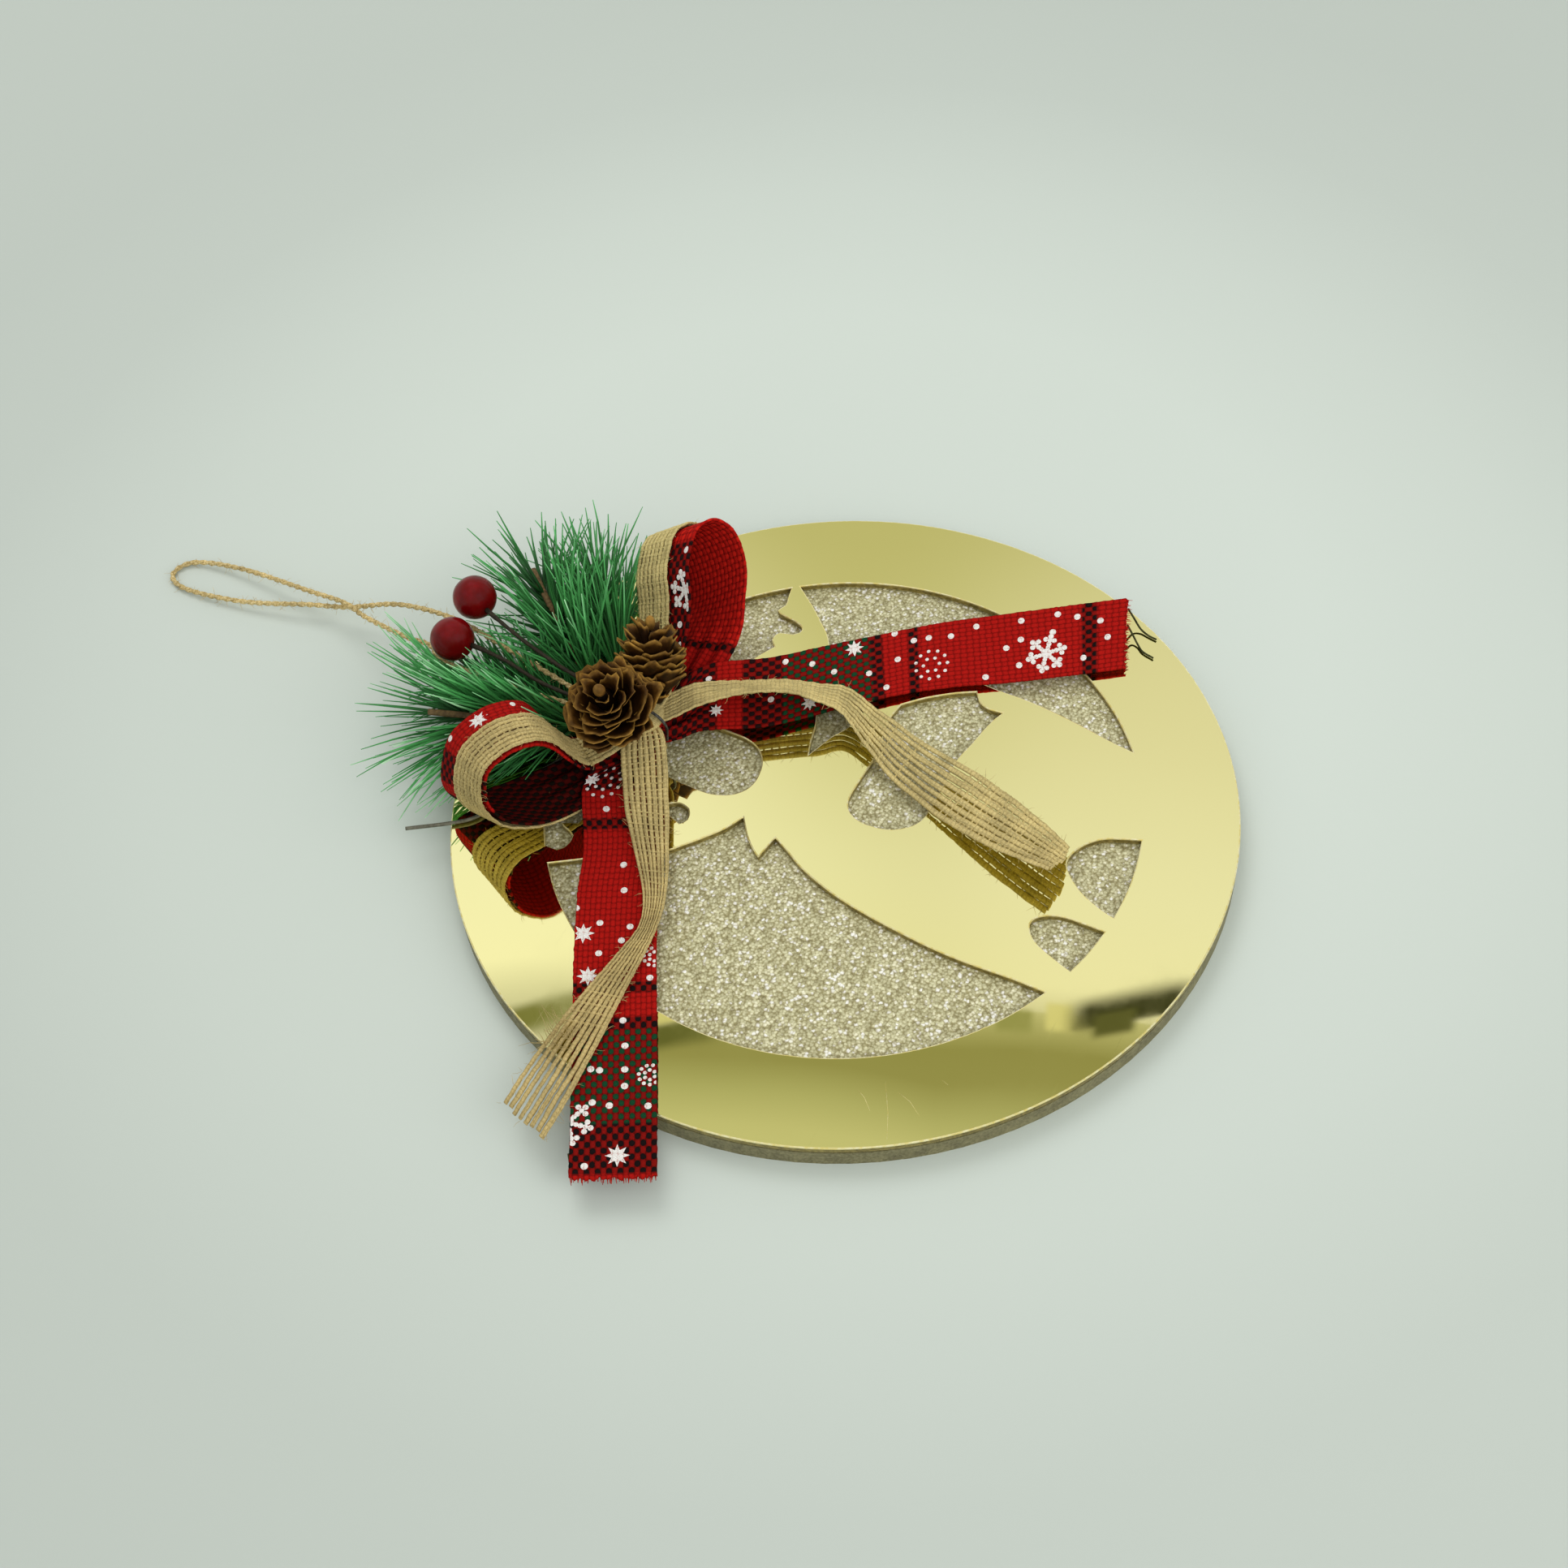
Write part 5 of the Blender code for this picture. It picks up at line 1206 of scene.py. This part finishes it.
# A needle that would run into another piece is turned, shortened or left out, tried in this order.
NEEDLE_TRIES = ((1, 0), (1, 0.5), (1, -0.5), (0.65, 0), (0.65, 0.6), (0.4, 0))
needle_finish, tree, shader = shader_material("pine_plastic")
place = node(tree, "ShaderNodeTexCoord").outputs["Object"]
painted_shading = node(tree, "ShaderNodeAttribute", attribute_name="along").outputs["Fac"]
vary = speckle(tree, place, 150.0, 2.0)
# Colour by distance from the stem: painted shade, dark in the dense core, rising to painted light, near
# white-green, at the tips.
colour = ramp(tree, painted_shading, [(0.0, (0.012, 0.060, 0.014)), (0.35, (0.028, 0.17, 0.036)),
                            (0.7, (0.072, 0.35, 0.095)), (0.88, (0.18, 0.50, 0.21)),
                            (1.0, (0.36, 0.66, 0.38))])
colour = mix_colour(tree, 0.8, colour, ramp(tree, vary, [(0.3, 0.55), (0.7, 1.4)]), "MULTIPLY")
tree.links.new(colour, shader.inputs["Base Color"])
tree.links.new(maths(tree, "MULTIPLY_ADD", vary, 0.2, 0.38), shader.inputs["Roughness"])
plain_values(shader, Specular_IOR_Level=0.22)
stem_finish = wire_finish("sprig_stem", (0.070, 0.038, 0.011), (0.22, 0.135, 0.050), 0.0, 0.6, 1100.0)
solid_shapes = []
for other in ("plaid_ribbon", "burlap_ribbon", "cone_front", "cone_back", "berry_right", "berry_left",
              "berry_wire_right", "berry_wire_left", "twine", "binding_wire", "pick_wire"):
    source = welded(other)
    solid_shapes.append(BVHTree.FromBMesh(source))
    source.free()


def free_way(foot, tip, room):
    """Whether a straight needle stays clear of every other piece of the ornament."""
    line = tip - foot
    for solid in solid_shapes:
        if solid.ray_cast(foot, line.normalized(), line.length)[0] is not None:
            return False
        if any(solid.find_nearest(foot + line * (k / 6), room)[0] is not None for k in range(1, 7)):
            return False
    return True


def seen_flat(spot):
    """A place as the camera's direction flattens it."""
    return spot - Vector(CAMERA_BACK) * spot.dot(Vector(CAMERA_BACK))


def before_bare(foot, tip):
    """Whether a needle crosses over a berry, its wire, a loop or a bare stem end, which all lie on top."""
    a, b = seen_flat(foot), seen_flat(tip)
    for from_spot, to_spot, c, d, radius in bare_rods:
        if (a + b - c - d).length > (b - a).length + (d - c).length + 2 * radius:
            continue
        pairs = [(0, share_along(a, c, d)), (1, share_along(b, c, d)), (share_along(c, a, b), 0),
                 (share_along(d, a, b), 1)]
        crossing = intersect_line_line(a, b, c, d)
        if crossing:
            pairs.append((share_along(crossing[0], a, b), share_along(crossing[0], c, d)))
        t, u = min(pairs, key=lambda pair: (a.lerp(b, pair[0]) - c.lerp(d, pair[1])).length)
        ahead_by = (foot.lerp(tip, t) - from_spot.lerp(to_spot, u)).dot(Vector(CAMERA_BACK))
        if (a.lerp(b, t) - c.lerp(d, u)).length < radius and ahead_by > 0:
            return True
    return False


def share_along(spot, start, end):
    """How far along a straight stretch the place nearest to a spot lies."""
    return max(0, min(1, (spot - start).dot(end - start) / (end - start).length_squared))


bare_rods = []
for spot, wire_route in zip(BERRY_PLACES, BERRY_WIRES):
    berry_middle = from_knot(spot)
    bare_rods += [(berry_middle + Vector(CAMERA_UP) * 0.002, berry_middle - Vector(CAMERA_UP) * 0.002,
                   BERRY_DIAMETER / 2 - 0.0008)]
    bare_rods += [(from_knot(a), from_knot(b), 0.0009) for a, b in zip(wire_route, wire_route[1:])]
for route, *_ in (SPRIGS["pine_sprig_left"], SPRIGS["pine_sprig_right"]):
    end, before = from_knot(route[-1]), from_knot(route[-2])
    bare_rods.append((end + (end - before).normalized() * 0.002, end + (before - end).normalized() * 0.010,
                      0.0022))
for line, half in ((burlap_lines[1], 0.0058), (plaid_lines["left_loop"], 0.0088)):
    bare_rods += [(a[0], b[0], half) for a, b in zip(line[::8], line[8::8]) if (a[0] - b[0]).length > 1e-4]
bare_rods = [(a, b, seen_flat(a), seen_flat(b), radius) for a, b, radius in bare_rods]

for number, (name, (route, tip_lean, tip_share, needle_count)) in enumerate(SPRIGS.items()):
    random.seed(100 + number)
    rows = [from_knot(row) for row in smooth(route, 12)]
    stem = tube_mesh([[(row, STEM_RADIUS * (1 - 0.15 * k / len(rows))) for k, row in enumerate(rows)]])
    routes = []
    for k in range(needle_count):
        share = 0.04 + (0.80 if name == "pine_sprig_right" else 0.86) * (k + 0.5) / needle_count
        at = share * (len(rows) - 1)
        low = min(int(at), len(rows) - 2)
        foot = rows[low].lerp(rows[low + 1], at - low)
        ahead = (rows[low + 1] - rows[low]).normalized()
        lean = math.radians(60 + (tip_lean - 60) * share + random.uniform(-32, 10))
        full = NEEDLE_LENGTH * (1 + (tip_share - 1) * share) * random.uniform(0.74, 1.0)
        for part, turn in NEEDLE_TRIES:
            length = full * part
            around = ahead.orthogonal().normalized()
            around.rotate(Matrix.Rotation(k * GOLDEN_ANGLE + turn, 3, ahead))
            tip = foot + (ahead * math.cos(lean) + around * math.sin(lean)) * length
            tip.z = max(tip.z, PANEL_TOP + 0.0010)
            if not free_way(foot, tip, NEEDLE_ROOM) or before_bare(foot, tip):
                continue
            bend = Vector((random.uniform(-1, 1), random.uniform(-1, 1),
                           random.uniform(-0.6, 0.6))) * (length * 0.035)
            thick = random.uniform(*NEEDLE_RADIUS)
            routes.append([(foot.lerp(tip, t) + bend * (4 * t * (1 - t)), thick * (1 - NEEDLE_TAPER * t * t))
                           for t in (0, 0.25, 0.5, 0.75, 1)])
            break
    needles = tube_mesh(routes, sides=0)
    along = needles.verts.layers.float.new("along")
    for vertex in needles.verts:
        nearest = min((vertex.co - row).length for row in rows)
        vertex[along] = min(1.0, nearest / (NEEDLE_LENGTH * 0.8))
    made = finished(name + "_needles", needles, needle_finish)
    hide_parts(name)
    made = finished(name + "_stem", stem, stem_finish)
    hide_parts(name)

# Twine. One length of two-ply jute runs out from the knot, round a long loop and back; it hangs
# the plaque up. Its loose fibres stand off it as fuzz.
TWINE_DIAMETER = 0.0018
TWINE_TURN = 0.0052
TWINE_OUT = [(1.5, 13.8, 8.5), (4.5, 28, 9.2), (7.4, 43.2, 10.0), (10.5, 56.6, 10.0), (12.4, 65.8, 9.0),
             (13.5, 77.0, 7.0), (13.2, 86.9, 4.6)]
TWINE_LOOP = [(11.7, 100.6, 6.4), (9.4, 112.7, 4.6), (4.6, 132.1, 2.4), (3.0, 151.2, 1.1), (6.3, 158.5, 1.0),
              (12.7, 155.2, 1.1), (14.7, 139.0, 2.9), (12.8, 114.9, 6.0), (10.8, 100.7, 8.9)]
TWINE_BACK = [(7.2, 91.3, 3.6), (3.8, 75.6, 5.8), (2.7, 67.0, 7.4), (-1.2, 60.0, 8.0), (-1.8, 43.2, 8.4),
              (-1.6, 28.0, 8.6), (-0.9, 13.8, 8.6)]
stops = [from_knot(row) for row in TWINE_OUT]
stops += [Vector((knot.x, knot.y, 0)) + Vector(row) * MM for row in TWINE_LOOP]
stops += [from_knot(row) for row in TWINE_BACK]
route = smooth(stops, 30)
twine_path = [route[0]]
for spot in route[1:]:
    if (spot - twine_path[-1]).length >= 0.0005:
        twine_path.append(spot)
plies = [[], []]
hairs = []
random.seed(77)
run = 0.0
upright = Vector((0, 0, 1))
for k, spot in enumerate(twine_path):
    ahead = (twine_path[min(k + 1, len(twine_path) - 1)] - twine_path[max(k - 1, 0)]).normalized()
    side_way = ahead.cross(upright).normalized()
    up_way = side_way.cross(ahead)
    run += (spot - twine_path[max(k - 1, 0)]).length
    turn = run * 2 * math.pi / TWINE_TURN
    for j, ply in enumerate(plies):
        angle = turn + j * math.pi
        swell = 1 + 0.16 * noise.noise(Vector((run * 220, j * 5.0, 0)))
        offset = (side_way * math.cos(angle) + up_way * math.sin(angle)) * (TWINE_DIAMETER * 0.175)
        ply.append((spot + offset, TWINE_DIAMETER * 0.255 * swell))
    if random.random() < 0.75:
        angle = random.uniform(0, 2 * math.pi)
        out = side_way * math.cos(angle) + up_way * math.sin(angle)
        drift = (ahead * random.choice((-1, 1)) * random.uniform(0.3, 1.2) + out).normalized()
        root = spot + out * TWINE_DIAMETER * 0.3
        hairs.append(jute_hair(root, drift, random.uniform(0.0008, 0.0026), out, 0.0001))
twine_finish, tree, shader = shader_material("jute_twine")
place = node(tree, "ShaderNodeTexCoord").outputs["Object"]
fibre = speckle(tree, place, 1800.0, 4.0)
blotch = speckle(tree, place, 220.0, 2.0)
colour = ramp(tree, fibre, [(0.28, (0.30, 0.20, 0.075)), (0.5, (0.56, 0.43, 0.19)),
                            (0.75, (0.80, 0.67, 0.38))])
colour = mix_colour(tree, 0.6, colour, ramp(tree, blotch, [(0.3, 0.6), (0.7, 1.25)]), "MULTIPLY")
tree.links.new(colour, shader.inputs["Base Color"])
plain_values(shader, Roughness=0.9, Specular_IOR_Level=0.08)
relief(tree, shader, (fibre, 0.9, 0.0002))
twine = finished("jute_twine_loop", tube_mesh(plies, sides=2), twine_finish)
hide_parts("twine")
fuzz = finished("jute_twine_fuzz", tube_mesh(hairs, sides=0), twine_finish)
